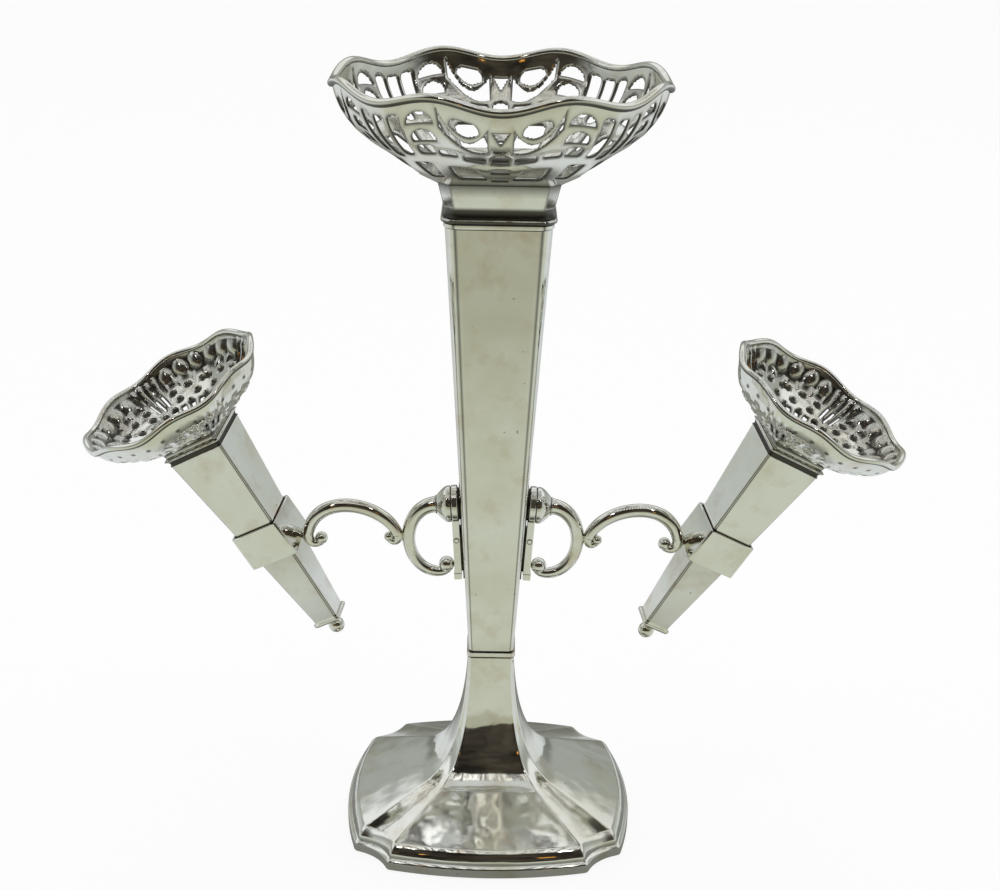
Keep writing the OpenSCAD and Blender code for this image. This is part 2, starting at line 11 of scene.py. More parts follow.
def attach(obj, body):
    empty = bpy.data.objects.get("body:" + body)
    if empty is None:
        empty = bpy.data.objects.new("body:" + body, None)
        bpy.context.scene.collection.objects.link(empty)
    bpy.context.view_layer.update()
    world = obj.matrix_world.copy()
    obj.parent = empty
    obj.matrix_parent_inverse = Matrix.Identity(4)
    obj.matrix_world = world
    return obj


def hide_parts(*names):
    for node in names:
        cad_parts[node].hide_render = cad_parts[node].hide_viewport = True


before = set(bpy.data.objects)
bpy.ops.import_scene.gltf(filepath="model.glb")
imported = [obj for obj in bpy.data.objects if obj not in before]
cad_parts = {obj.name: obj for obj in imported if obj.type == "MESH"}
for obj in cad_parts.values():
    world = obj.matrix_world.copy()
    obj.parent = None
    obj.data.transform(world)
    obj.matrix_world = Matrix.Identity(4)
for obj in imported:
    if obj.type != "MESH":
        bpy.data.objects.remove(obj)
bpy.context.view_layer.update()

# Foot rim: a drawn silver wire of flat section, bent round the foot and soldered under it.
# The epergne stands on it. Its outline bows out on each side and is notched at the corners.
FOOT_REACH, FOOT_BOW, SIDE_HALF, NOTCH = 54.0, 4.8, 36.7, 2.2
NECK, NECK_CHAMFER = 8.6, 1.4
RIM_H, RIM_W = 4.4, 3.0
CRISP = math.radians(32)


def foot_rings(reach, z, side_n=24, corner_n=10):
    """Rings of the foot's outline. A side is a parabola bowed outwards, with t from -1 to 1 along
    it; a corner is a straight cut let in by a parabola in u. Both shrink in step with the reach
    down to the neck's plain chamfered square. Each ridge between them is a small curve."""
    reach = np.asarray(reach, float)[:, None]
    k = (reach - NECK) / (FOOT_REACH - NECK)
    half = NECK - NECK_CHAMFER + (SIDE_HALF - NECK + NECK_CHAMFER) * k
    bow = FOOT_BOW * k
    end = reach - bow
    soft = 0.35 + 0.8 * np.clip(k, 0, 1)
    t = np.linspace(-1, 1, side_n + 1)[None] * (1 - soft / half)
    side = np.stack([reach - bow * t * t, half * t], -1)
    reach_u = soft / (math.sqrt(2) * (end - half))
    u = reach_u + (1 - 2 * reach_u) * np.linspace(0, 1, corner_n + 1)[None]
    cut = NOTCH * k * 4 * u * (1 - u) / math.sqrt(2)
    corner = np.stack([end + (half - end) * u - cut, half + (end - half) * u - cut], -1)
    ridge = np.stack([end, half], -1)
    w = np.linspace(0, 1, 5)[None, 1:-1, None]
    arc = (1 - w) ** 2 * side[:, -1:] + 2 * w * (1 - w) * ridge + w ** 2 * corner[:, :1]
    quarter = np.concatenate([arc[:, ::-1] * [1, -1], side, arc, corner], 1)
    flipped = quarter[..., ::-1]
    ring = np.concatenate([quarter, flipped * [-1, 1], -quarter, flipped * [1, -1]], 1)
    height = np.broadcast_to(np.asarray(z, float)[:, None, None], ring.shape[:2] + (1,))
    return np.concatenate([ring, height], -1)


def skin(grid, closed=False):
    """Points and four-cornered faces over a grid. Rows run up and columns anticlockwise, so that
    faces point outwards. The last column joins the first, and with closed the last row does too."""
    rows, cols = grid.shape[:2]
    index = np.arange(rows * cols).reshape(rows, cols)
    index = np.hstack([index, index[:, :1]])
    if closed:
        index = np.vstack([index, index[:1]])
    faces = np.stack([index[:-1, :-1], index[:-1, 1:], index[1:, 1:], index[1:, :-1]], -1)
    return grid.reshape(-1, 3), faces.reshape(-1, 4)


def build(name, skins, material, mirrored=False, painted_shade=None):
    """An object from one or more skins, in metres. Points that meet are merged, which closes seams
    and poles, and edges sharper than CRISP stay so. The last argument is a share per point of
    painted shade, which darkens the metal where shade falls."""
    points = np.concatenate([p for p, _ in skins]) * 0.001
    starts = np.cumsum([0] + [len(p) for p, _ in skins[:-1]])
    faces = np.concatenate([f + s for (_, f), s in zip(skins, starts)])
    if mirrored:
        points = points * [-1, 1, 1]
        faces = faces[:, ::-1]
    mesh = bpy.data.meshes.new(name)
    mesh.vertices.add(len(points))
    mesh.vertices.foreach_set("co", points.ravel())
    mesh.loops.add(faces.size)
    mesh.loops.foreach_set("vertex_index", faces.ravel().astype(np.int32))
    mesh.polygons.add(len(faces))
    mesh.polygons.foreach_set("loop_start", np.arange(0, faces.size, 4, dtype=np.int32))
    mesh.update(calc_edges=True)
    if painted_shade is not None:
        mesh.attributes.new("painted_shade", "FLOAT", "POINT").data.foreach_set("value", painted_shade.ravel())
    work = bmesh.new()
    work.from_mesh(mesh)
    bmesh.ops.remove_doubles(work, verts=work.verts, dist=1e-6)
    work.to_mesh(mesh)
    work.free()
    mesh.polygons.foreach_set("use_smooth", np.ones(len(mesh.polygons), bool))
    mesh.set_sharp_from_angle(angle=CRISP)
    mesh.materials.append(material)
    piece = bpy.data.objects.new(name, mesh)
    bpy.context.collection.objects.link(piece)
    return piece


def linear(code):
    """An sRGB hex colour as linear RGBA: a channel c becomes c / 12.92 up to 0.04045 and
    ((c + 0.055) / 1.055) to the power 2.4 above it."""
    c = [int(code[i:i + 2], 16) / 255 for i in (1, 3, 5)]
    return [v / 12.92 if v <= 0.04045 else ((v + 0.055) / 1.055) ** 2.4 for v in c] + [1]


def add_node(tree, kind, inputs, **settings):
    """One shader node with its settings. An input is a value, a socket that it is linked to, or a
    node whose first live output it takes."""
    node = tree.nodes.new("ShaderNode" + kind)
    for key, value in settings.items():
        setattr(node, key, value)
    for key, value in inputs.items():
        if isinstance(value, bpy.types.Node):
            value = next(socket for socket in value.outputs if socket.enabled)
        if isinstance(value, bpy.types.NodeSocket):
            tree.links.new(value, node.inputs[key])
        else:
            node.inputs[key].default_value = value
    return node


def metal(name):
    """A fully metallic material, with its node tree, its shader and the piece's own coordinates."""
    material = bpy.data.materials.new(name)
    material.use_nodes = True
    tree = material.node_tree
    shader = tree.nodes["Principled BSDF"]
    shader.inputs["Metallic"].default_value = 1
    return material, tree, shader, add_node(tree, "TexCoord", {}).outputs["Object"]


# Electroplated silver on nickel, polished and then handled for years: a mirror with a thin warm film
# in clouds about 28 mm wide, pinkish-brown stains about 12 mm wide, a few dark pits of 1 mm,
# painted shade in grooves, on folds, on undersides and round openings, a sheet that is nowhere quite
# flat, and fine hairlines drawn coarse enough to show.
silver, tree, shader, place = metal("silver_plate")
layers, aged_and_shaded = {}, linear("#EDEEEA")
# Each layer's width in metres, the detail and roughness of its noise, the noise at which it starts and
# is full, and its strength and colour.
for name, wide, detail, rough, start, full, strength, colour in (
        ("film", 0.028, 3, 0.55, 0.38, 0.66, 0.8, "#DFDDCF"),
        ("stain", 0.012, 4, 0.62, 0.52, 0.74, 0.42, "#C6AF93"),
        ("pits", 0.0022, 1, 0.5, 0.77, 0.81, 0.6, "#5E5443")):
    noise = add_node(tree, "TexNoise", {"Vector": place, "Scale": 1 / wide, "Detail": detail, "Roughness": rough})
    layers[name] = add_node(tree, "MapRange", {"Value": noise, 1: start, 2: full, 3: 0.0, 4: strength})
    aged_and_shaded = add_node(tree, "Mix", {0: layers[name], 6: aged_and_shaded, 7: linear(colour)}, data_type="RGBA")
# Painted shade: each point's shade share, stored on its mesh, darkens the colour towards #2B2620 and roughens the
# metal.
shade_mask = add_node(tree, "Attribute", {}, attribute_name="painted_shade").outputs["Fac"]
dark = add_node(tree, "Math", {0: shade_mask, 1: 0.94}, operation="MULTIPLY")
aged_and_shaded = add_node(tree, "Mix", {0: dark, 6: aged_and_shaded, 7: linear("#2B2620")}, data_type="RGBA")
tree.links.new(aged_and_shaded.outputs[2], shader.inputs["Base Color"])
dull = add_node(tree, "Math", {0: layers["film"], 1: 0.08, 2: 0.06}, operation="MULTIPLY_ADD")
duller = add_node(tree, "Math", {0: shade_mask, 1: 0.3, 2: dull}, operation="MULTIPLY_ADD")
tree.links.new(duller.outputs[0], shader.inputs["Roughness"])
swell = add_node(tree, "TexNoise", {"Vector": place, "Scale": 1 / 0.018, "Detail": 1.5, "Roughness": 0.45},
                 name="swell")
uneven = add_node(tree, "Bump", {"Height": swell, "Strength": 1.0, "Distance": 0.00016}, name="uneven")
drawn = add_node(tree, "Mapping", {"Vector": place, "Rotation": (0.5, 0.9, 0.3), "Scale": (2600, 2100, 90)})
hair = add_node(tree, "TexNoise", {"Vector": drawn, "Scale": 1.0, "Detail": 2, "Roughness": 0.6})
hairlines = add_node(tree, "Bump", {"Height": hair, "Strength": 0.35, "Distance": 0.000012, "Normal": uneven})
tree.links.new(hairlines.outputs[0], shader.inputs["Normal"])

# Rows of reach and height.
rim_rows = np.array([
    [FOOT_REACH - RIM_W, 0], [53.6, 0], [53.85, 0.1], [FOOT_REACH, 0.35], [FOOT_REACH, 3.05], [53.97, 3.2],
    [53.88, 3.4], [53.56, 3.72], [53.22, 4.01], [52.9, 4.22], [52.65, 4.34], [52.4, RIM_H],
    [FOOT_REACH - RIM_W, RIM_H]])
rim = build("foot_rim_wire", [skin(foot_rings(rim_rows[:, 0], rim_rows[:, 1]), closed=True)], silver)
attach(rim, "stand")
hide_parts("foot_rim")

# Foot: one sheet raised over a die, with a roll at its edge, four sloping panels, hollow fluted
# corners, and a tall hollow that rises to the square neck, which is closed and pierced for a stud.
# Raising leaves waves about 11 mm long in it, deeper than those of flat sheet.
ROLL_Z, ROLL_H, FOOT_EDGE = 5.0, 4.4, 52.6
PANEL_REACH, HOLLOW_REACH, FOOT_TOP, FOOT_WALL = 48.2, 26.0, 66.0, 1.4
STUD_HOLE = 2.55


def bezier(points, t):
    """Cubic curve through four control points at the shares t."""
    a, b, c, d = (np.asarray(p, float) for p in points)
    t = np.asarray(t)[:, None]
    return (1 - t) ** 3 * a + 3 * t * (1 - t) ** 2 * b + 3 * t ** 2 * (1 - t) * c + t ** 3 * d


def unit(v):
    """Vectors divided by their lengths."""
    return v / np.linalg.norm(v, axis=-1, keepdims=True)


def inset(profile, wall):
    """A profile of reach and height moved off itself by the wall, to its left-hand side."""
    d = unit(np.gradient(profile, axis=0))
    return profile + wall * np.stack([-d[:, 1], d[:, 0]], -1)


slope = math.tan(math.radians(22.5))
panel_top = ROLL_Z + ROLL_H + (PANEL_REACH - HOLLOW_REACH) * slope
pull = (HOLLOW_REACH - NECK) * 0.6
hollow = bezier([[HOLLOW_REACH, panel_top], [HOLLOW_REACH - pull, panel_top + pull * slope],
                 [NECK + (HOLLOW_REACH - NECK) * 0.04, panel_top + (FOOT_TOP - panel_top) * 0.4],
                 [NECK, FOOT_TOP]], np.linspace(0, 1, 41))
# The roll leans in from 6 to 41 degrees, turns slowly over its bright edge and meets the panel.
lift = np.radians(np.concatenate([np.linspace(6, 41, 12), np.linspace(41, 53, 9)[1:],
                                  np.linspace(53, 67.5, 6)[1:]]))
step = np.concatenate([np.full(11, 3.9 / 11), np.full(8, 1.4 / 8), np.full(5, 0.4 / 5)])
middle = (lift[1:] + lift[:-1]) / 2
climb = step[:, None] * np.stack([-np.sin(middle), np.cos(middle)], -1)
roll = np.array([FOOT_EDGE, ROLL_Z - 0.3]) + np.concatenate([[[0, 0]], np.cumsum(climb, 0)])
panel = np.linspace(roll[-1] + [-0.35, 0.14], [HOLLOW_REACH, panel_top], 8)[:-1]
outside = np.concatenate([[[FOOT_EDGE, RIM_H]], roll, panel, hollow])
inside = inset(outside, FOOT_WALL)
inside = inside[(inside[:, 1] > RIM_H + 0.1) & (inside[:, 1] < FOOT_TOP - FOOT_WALL - 1)][::-1]
under = np.concatenate([[[NECK - FOOT_WALL, FOOT_TOP - FOOT_WALL]], inside, [[FOOT_EDGE - FOOT_WALL, RIM_H]]])
raised = silver.copy()
raised.name = "raised_silver_plate"
raised.node_tree.nodes["swell"].inputs["Scale"].default_value = 1 / 0.011
raised.node_tree.nodes["uneven"].inputs["Distance"].default_value = 0.00035
crown = foot_rings([NECK, NECK], [FOOT_TOP, FOOT_TOP - FOOT_WALL])
crown[..., :2] *= STUD_HOLE / np.linalg.norm(crown[..., :2], axis=-1, keepdims=True)
foot = build("foot_shell", [skin(np.concatenate([foot_rings(outside[:, 0], outside[:, 1]), crown,
                                                 foot_rings(under[:, 0], under[:, 1])]), closed=True)], raised)
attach(foot, "stand")
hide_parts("foot")

# Bead between foot and column: a flat band of drawn wire between two fine grooves, mitred and
# soldered round the joint, with a straight square opening inside.
COLUMN_LOW, COLUMN_HIGH, COLUMN_WALL = 8.35, 18.55, 1.0
CHAMFER_LOW, CHAMFER_HIGH = 1.2, 3.4
COLUMN_Z, COLUMN_TOP = 69.2, 231.6


def square_rings(half, z, chamfer, rounding, support=0.1):
    """Rings of a square with cut corners at each height. Each of the eight corners is a curve
    through the two points at the rounding's distance from it, with one more point a little way
    along each side, which keeps the flat sides flat to the light."""
    half, z, chamfer, rounding = np.broadcast_arrays(
        *(np.asarray(v, float) for v in (half, z, chamfer, rounding)))
    cut = half - chamfer
    pair = np.stack([np.stack([half, cut], -1), np.stack([cut, half], -1)], 1)
    flipped = pair[..., ::-1]
    corner = np.concatenate([pair, flipped * [-1, 1], -pair, flipped * [1, -1]], 1)[:, :, None]
    back, on = unit(np.roll(corner, 1, 1) - corner), unit(np.roll(corner, -1, 1) - corner)
    r = rounding[:, None, None, None]
    u = np.linspace(0, 1, 5)[None, None, :, None]
    ring = np.concatenate([corner + (r + support) * back, corner + r * ((1 - u) ** 2 * back + u ** 2 * on),
                           corner + (r + support) * on], 2).reshape(len(half), -1, 2)
    return np.concatenate([ring, np.broadcast_to(z[:, None, None], ring.shape[:2] + (1,))], -1)


def moulding(profile, chamfer, rounding, bore, bore_chamfer):
    """A square moulding: a profile of half width and height carried round, closed by a bore."""
    p = np.asarray(profile, float)
    ends = [p[-1, 1], p[0, 1]]
    return np.concatenate([square_rings(p[:, 0], p[:, 1], chamfer, rounding),
                           square_rings([bore, bore], ends, bore_chamfer, min(0.15, bore_chamfer / 4))])


# Rows of half width, height and painted shade.
bead_rows = np.array([
    [8.6, 66, 0], [8.55, 66.3, 0.2], [8.25, 66.4, 1], [8.25, 66.75, 1], [8.8, 66.8, 0.3], [8.98, 66.95, 0],
    [9, 67.2, 0], [9, 68.1, 0], [8.98, 68.3, 0], [8.8, 68.45, 0.3], [8.15, 68.5, 1], [8.15, 68.9, 1],
    [8.3, 68.97, 0.3], [8.35, 69.2, 0]])
bead_grid = moulding(bead_rows[:, :2], CHAMFER_LOW, 0.25, COLUMN_LOW - COLUMN_WALL, 0.62)
# Painted shade round a ring: one dark line on each of the folds, strong on the front and back faces.
FOLDS = np.repeat([0.2, 0.85, 0.85, 0.2, 0.2, 0.85, 0.85, 0.2], 7) * np.tile([0, 0, 0, 1, 0, 0, 0], 8)
bead = build("column_bead_band", [skin(bead_grid, closed=True)], silver,
             painted_shade=np.maximum(np.append(bead_rows[:, 2], [0, 0])[:, None], 0.6 * FOLDS))
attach(bead, "stand")
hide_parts("column_bead")

# Column: four tapering sheet panels folded with cut corners that widen upwards, seamed and
# soldered, hollow so that it holds water and stems.
taper = [COLUMN_LOW, COLUMN_HIGH, COLUMN_HIGH - COLUMN_WALL, COLUMN_LOW - COLUMN_WALL]
inner_cut = [c - COLUMN_WALL * (2 - math.sqrt(2)) for c in (CHAMFER_HIGH, CHAMFER_LOW)]
column_grid = square_rings(taper, [COLUMN_Z, COLUMN_TOP, COLUMN_TOP, COLUMN_Z],
                           [CHAMFER_LOW, CHAMFER_HIGH] + inner_cut, [0.72, 2.2, 0.2, 0.15])
# Painted shade: dark lines on the outer folds.
column = build("column_tube", [skin(column_grid, closed=True)], silver, painted_shade=np.outer([0.8, 1, 0, 0], FOLDS))
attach(column, "stand")
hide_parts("column")

# Fixings inside the foot and column: a plug soldered in the column's foot, and a turned brass stud
# with its washer and nut that draw the column down on the foot. They are plated but never polished.
def unpolished(name, wide, start, full, colours, rough):
    """A metal in two colours, mixed by a noise of a width in metres between its start and full
    values, which also takes the roughness from one end of its range to the other."""
    material, tree, shader, place = metal(name)
    noise = add_node(tree, "TexNoise", {"Vector": place, "Scale": 1 / wide, "Detail": 3, "Roughness": 0.6})
    share = add_node(tree, "MapRange", {"Value": noise, 1: start, 2: full})
    mixed = add_node(tree, "Mix", {0: share, 6: linear(colours[0]), 7: linear(colours[1])}, data_type="RGBA")
    tree.links.new(mixed.outputs[2], shader.inputs["Base Color"])
    grit = add_node(tree, "MapRange", {"Value": noise, 1: 0.3, 2: 0.7, 3: rough[0], 4: rough[1]})
    tree.links.new(grit.outputs[0], shader.inputs["Roughness"])
    return material, tree, shader, noise


fixing, tree, shader, wear_and_shade = unpolished("plated_brass", 0.004, 0.4, 0.68, ("#D9D6CB", "#B39C6C"), (0.24, 0.42))
lathe_marks = add_node(tree, "Bump", {"Height": wear_and_shade, "Strength": 0.3, "Distance": 0.00002})
tree.links.new(lathe_marks.outputs[0], shader.inputs["Normal"])
for name in ("column_plug", "tie_stud", "tie_washer", "tie_nut"):
    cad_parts[name].data.materials.clear()
    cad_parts[name].data.materials.append(fixing)

# Moulding on top of the column: a flat fillet, a half-round bead and a cove, drawn as one strip
# and mitred round, which hides the joint between the column and the bowl's neck.
# The third column of each row is painted shade: the bead's lower half, the cove and the grooves by the fillet are
# painted dark, and each fold gets a dark line.
a = np.radians(np.linspace(-80, 90, 12))
round_bead = np.stack([19.05 + 0.95 * np.cos(a), 234.65 + 0.85 * np.sin(a),
                       np.clip(1 - 3 * np.sin(a), 0, 0.95)], -1)
cove = bezier([[19.4, 235.6, 1], [18.9, 236.0, 1], [18.7, 237.0, 1], [18.78, 238.6, 0.9]], np.linspace(0, 1, 9))
fillet = [[18.5, 231.6, 0.9], [18.4, 231.68, 1], [18.4, 231.9, 0.9], [18.95, 232.0, 0], [19.05, 232.2, 0],
          [19.05, 233.25, 0], [18.9, 233.45, 0.2], [18.45, 233.5, 1], [18.45, 233.75, 1]]
top_rows = np.concatenate([fillet, round_bead, [[18.95, 235.55, 0.8]], cove])
top_grid = moulding(top_rows[:, :2], CHAMFER_HIGH, 2.0, COLUMN_HIGH - COLUMN_WALL, 2.8)
top = build("column_moulding_strip", [skin(top_grid, closed=True)], silver,
            painted_shade=np.maximum(np.append(top_rows[:, 2], [0, 0])[:, None], FOLDS))
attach(top, "stand")
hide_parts("column_moulding")

# Centre bowl: a raised sheet bowl on a square neck, sawn out in four tiers that repeat on each
# side, with fans of slots over the corners. The bars' edges are burnished round.
BOWL_Z, BOWL_H, BOWL_R, BOWL_WAVE, BOWL_WALL = 238.6, 39.45, 57.5, 3.8, 1.2
BOWL_NECK, BOWL_NECK_H, BOWL_FLARE, BOWL_CUT = 18.8, 8.8, 2.1, 3.6
BURNISH = 0.9


def slot_box(x, y, half_x, half_y, soft):
    """Signed distance to a rounded box, negative inside."""
    dx, dy = np.abs(x) - half_x + soft, np.abs(y) - half_y + soft
    return np.hypot(np.maximum(dx, 0), np.maximum(dy, 0)) + np.minimum(np.maximum(dx, dy), 0) - soft


def dome(x, y, half, low, high):
    """Signed distance to an opening with a flat sill at low and a round head at high."""
    flat = high - half * 0.8
    head = np.hypot(x, (y - flat) * half / (high - flat)) - half
    return np.maximum(np.where(y > flat, head, np.abs(x) - half), low - y)


def bowl_openings(a, s, r):
    """Distance in millimetres to the nearest opening, negative inside one. a is the angle in
    degrees from the middle of the nearest side, s the way up the sheet from the neck's crease and
    r the radius there."""
    along = np.radians(1) * r
    x = a * along
    swag = 38.2 + 0.11 * (a - 12) ** 2
    low_swag = 33.0 + 0.055 * (a - 9) ** 2
    heart = np.maximum((x - 2.7 * (s - 38.0) / 5.0) * 0.9, np.abs(s - 40.6) - 2.5)
    eye = np.maximum(slot_box((a - 12.4) * along, s - 40.2, 5.0 * along, 4.8, 2.6), swag + 1.1 - s)
    crescent = np.maximum(np.maximum(s - swag + 1.1, low_swag - s), (np.abs(a - 12.9) - 8.3) * along)
    return np.minimum.reduce([
        heart, eye, crescent,
        dome((a - 28.4) * along, s, 5.0, 42.4, 46.2),
        dome((a - 28.2) * along, s, 4.3, 35.6, 40.2),
        dome(x, s, 2.8, 27.4, 33.2),
        slot_box(x - 8.2, s - 29.3, 3.6, 2.0, 1.2),
        slot_box((a - 20.6) * along, s - 30.2, 3.0, 1.6, 1.2),
        slot_box((a - 29.2) * along, s - 31.6, 2.9, 2.4, 1.4),
        dome(x, s, 3.0, 17.4, 23.8),
        dome(x, s, 2.7, 4.9, 11.4),
        slot_box((a - 17.8) * along, s - 14.2, 4.7, 7.2, 1.6),
        slot_box((a - 36.4) * along, s - 16.6, 2.7 + 0.1 * (s - 16.5), 7.2, 1.3),
        slot_box((a - 45) * along, s - 36.5, 0.043 * r, 9.4, 1.6),
        slot_box((a - 38.4) * along, s - 37.4, 0.043 * r, 8.6, 1.6)])


def pierced_bowl(z0, neck, neck_h, flare, chamfer, edge_r, h, rise, wall,
                 openings, relief, outer_shade, fine, rows):
    """Skin and painted shade of a pierced bowl. Its outline turns from the neck's chamfered square to a
    circle over the first six tenths of its curve, and its edge rises and falls in eight waves that
    grow with the square of the way up. Grid points near an opening are drawn on to its edge, cells
    inside openings are left out, and over BURNISH the sheet thins to each edge by a quarter circle.
    relief is added to the inner face and dents the outer face, mostly near the neck. The function
    after relief gives painted shade for the outer face alone; fine and rows are the columns of an
    eighth turn and the rows."""
    cut = math.degrees(math.atan((neck - chamfer) / neck))
    octant = np.concatenate([np.linspace(0, cut, fine, endpoint=False),
                             np.linspace(cut, 45, max(3, fine // 6), endpoint=False)])
    quarter = np.concatenate([octant, 90 - np.append(octant[1:], 45)[::-1]])
    angle = np.concatenate([quarter + 90 * k for k in range(4)])
    crease = np.array([neck + flare, z0 + neck_h])
    wide, tall = edge_r - crease[0], h - neck_h
    curve = bezier([crease, crease + [wide * 0.22, tall * 0.18], crease + [wide * 0.9, tall * 0.28],
                    [edge_r, z0 + h]], np.linspace(0, 1, 400))
    run = np.concatenate([[0], np.cumsum(np.linalg.norm(np.diff(curve, axis=0), axis=1))])
    neck_len = math.hypot(flare, neck_h)
    s_table = np.concatenate([[-neck_len], run])
    r_table, z_table = np.concatenate([[[neck, z0]], curve]).T
    v_table = np.concatenate([[0], np.linspace(0, 1, 400)])

    def shell(angle, s):
        """Points on the outer face at angles in degrees and ways s up the sheet."""
        a = np.radians(angle)
        v = np.interp(s, s_table, v_table)
        side = np.maximum(np.abs(np.cos(a)), np.abs(np.sin(a)))
        square = np.minimum(1 / side, (2 - chamfer / neck) / (np.abs(np.cos(a)) + np.abs(np.sin(a))))
        blend = np.clip(v / 0.6, 0, 1)
        r = np.interp(s, s_table, r_table) * (square + (1 - square) * blend * blend * (3 - 2 * blend))
        z = np.interp(s, s_table, z_table) + rise * (1 - np.cos(8 * a)) / 2 * v * v
        return np.stack([r * np.cos(a), r * np.sin(a), z], -1), r

    def folded(angle):
        """Angle from the middle of the nearest side."""
        return np.abs((angle + 45) % 90 - 45)

    s = np.concatenate([[-neck_len, -neck_len * 0.87, -neck_len * 0.5, -0.25], np.linspace(0, run[-1], rows)])
    angle, s = np.meshgrid(angle, s)
    r = shell(angle, s)[1]
    gap = openings(folded(angle), s, r)
    step = 0.05
    by_x = openings(folded(angle + step), s, r) - openings(folded(angle - step), s, r)
    by_x /= 2 * np.radians(step) * r
    by_s = (openings(folded(angle), s + step, r) - openings(folded(angle), s - step, r)) / (2 * step)
    steep = np.maximum(by_x ** 2 + by_s ** 2, 0.2)
    near = (np.abs(gap) < 0.5 * np.sqrt(steep) * run[-1] / rows) & (s > 1) & (s < run[-1] - 1)
    angle = angle - np.where(near, np.degrees(gap * by_x / steep / r), 0)
    s = s - np.where(near, gap * by_s / steep, 0)
    gap = np.where(near, 0, gap)
    points, r = shell(angle, s)
    normal = unit(np.cross(shell(angle + step, s)[0] - shell(angle - step, s)[0],
                           shell(angle, s + step)[0] - shell(angle, s - step)[0]))
    share = np.clip(gap / BURNISH, 0, 1)[..., None]
    full = np.sqrt(1 - (1 - share) ** 2)
    lift = relief(folded(angle), s, r, run[-1])[..., None]
    dent = np.interp(s, [0.68 * run[-1], 0.78 * run[-1]], [0.5, 0.1])[..., None]
    outer = points - normal * (wall * 0.12 * (1 - full) + dent * lift)
    inner = points - normal * (wall * (0.62 + 0.38 * full) + lift)
    turn = (np.roll(angle, -1, 1) - angle + 180) % 360 - 180
    middle_a = angle[:-1] + turn[:-1] / 2
    middle_s = (s[:-1] + np.roll(s, -1, 1)[:-1] + s[1:] + np.roll(s, -1, 1)[1:]) / 4
    keep = openings(folded(middle_a), middle_s, shell(middle_a, middle_s)[1]) > 0
    index = np.arange(angle.size).reshape(angle.shape)
    ahead = np.roll(index, -1, 1)
    cells = np.stack([index[:-1], ahead[:-1], ahead[1:], index[1:]], -1)
    none = np.zeros_like(keep[:1])
    open_to = [~np.vstack([none, keep[:-1]]), ~np.roll(keep, -1, 1),
               ~np.vstack([keep[1:], none]), ~np.roll(keep, 1, 1)]
    far = angle.size
    walls = []
    for k in range(4):
        edge = cells[keep & open_to[k]]
        p, q = edge[:, k], edge[:, (k + 1) % 4]
        walls.append(np.stack([q, p, p + far, q + far], -1))
    faces = np.concatenate([cells[keep], cells[keep][:, ::-1] + far] + walls)
    # Painted shade: dark on the neck's folds and over its foot, dark outlines round the openings, and a dark line
    # along the crease where the neck meets the bowl.
    fold = 0.6 * np.exp(-((folded(angle) - cut) / 0.6) ** 2) * (s < 0)
    outlines = 0.9 * np.exp(-np.clip(gap, 0, 9) / 0.5) * (s > 0)
    crease_shade = np.exp(-((s - 0.2) / 0.9) ** 2)
    shade_mask = np.maximum.reduce([outlines, crease_shade, fold, 0.9 * (s < -0.99 * neck_len)])
    # Inside embossed bowls, painted shade in the low ground between the reliefs, and over the upper part a band
    # that is rougher from wear and painted darker as shade.
    embossed = lift.max() > 0
    hollow = np.clip(1 - lift[..., 0] / 0.7, 0, 1) * embossed * (s > 0.12 * run[-1]) * (s < 0.93 * run[-1])
    used = np.zeros(2 * far, bool)
    used[faces] = True
    new = np.cumsum(used) - 1
    wear_and_shade = 0.25 * np.clip(10 * s / run[-1] - 5.5, 0, 1) * embossed
    painted_shade = np.concatenate([np.maximum(shade_mask, outer_shade(folded(angle), s, r)).ravel(),
                             np.maximum.reduce([shade_mask, hollow, wear_and_shade]).ravel()])
    return (np.concatenate([outer.reshape(-1, 3), inner.reshape(-1, 3)])[used], new[faces]), painted_shade[used]


def plain(a, s, r, length):
    """No relief."""
    return np.zeros_like(s)


def bowl_flare_shade(a, s, r):
    """Painted shade of the outer face: a bell curve up the sheet, under the flare of the four sides."""
    return 0.9 * np.exp(-((s - 12.5) / 7) ** 2) * np.clip((34 - a) / 8, 0, 1)


bowl_skin, bowl_painted_shade = pierced_bowl(BOWL_Z, BOWL_NECK, BOWL_NECK_H, BOWL_FLARE, BOWL_CUT, BOWL_R, BOWL_H,
                                      BOWL_WAVE, BOWL_WALL, bowl_openings, plain, bowl_flare_shade, 62, 88)
bowl = build("centre_bowl_sheet", [bowl_skin], silver, painted_shade=bowl_painted_shade)
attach(bowl, "stand")
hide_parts("centre_bowl")

# Edge wire of the centre bowl: a round silver wire bent in eight waves, low at each side's middle
# and at each corner, and soldered over the bowl's edge.
BOWL_WIRE = 1.5


def around(n):
    """Angles of n places evenly round a circle."""
    return np.linspace(0, 2 * math.pi, n, endpoint=False)


def edge_wire(edge_r, z, rise, wire_r, steps, sides):
    """Round wire along a circle whose height follows eight cosine waves."""
    q, a = around(steps)[None], around(sides)[:, None]
    r = edge_r + wire_r * np.cos(a) + 0 * q
    height = z + rise * (1 - np.cos(8 * q)) / 2 + wire_r * np.sin(a)
    return np.stack([r * np.cos(q), r * np.sin(q), height], -1)


def underside_shade(steps, sides):
    """Painted shade of a wire: dark along its under side, where it is soldered to the sheet."""
    return np.repeat(0.97 * np.clip((-np.sin(around(sides)) - 0.05) / 0.3, 0, 1), steps)


wire = edge_wire(BOWL_R, BOWL_Z + BOWL_H, BOWL_WAVE, BOWL_WIRE, 384, 18)
bowl_wire = build("centre_rim_edge", [skin(wire, closed=True)], silver, painted_shade=underside_shade(384, 18))
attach(bowl_wire, "stand")
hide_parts("centre_rim_wire")

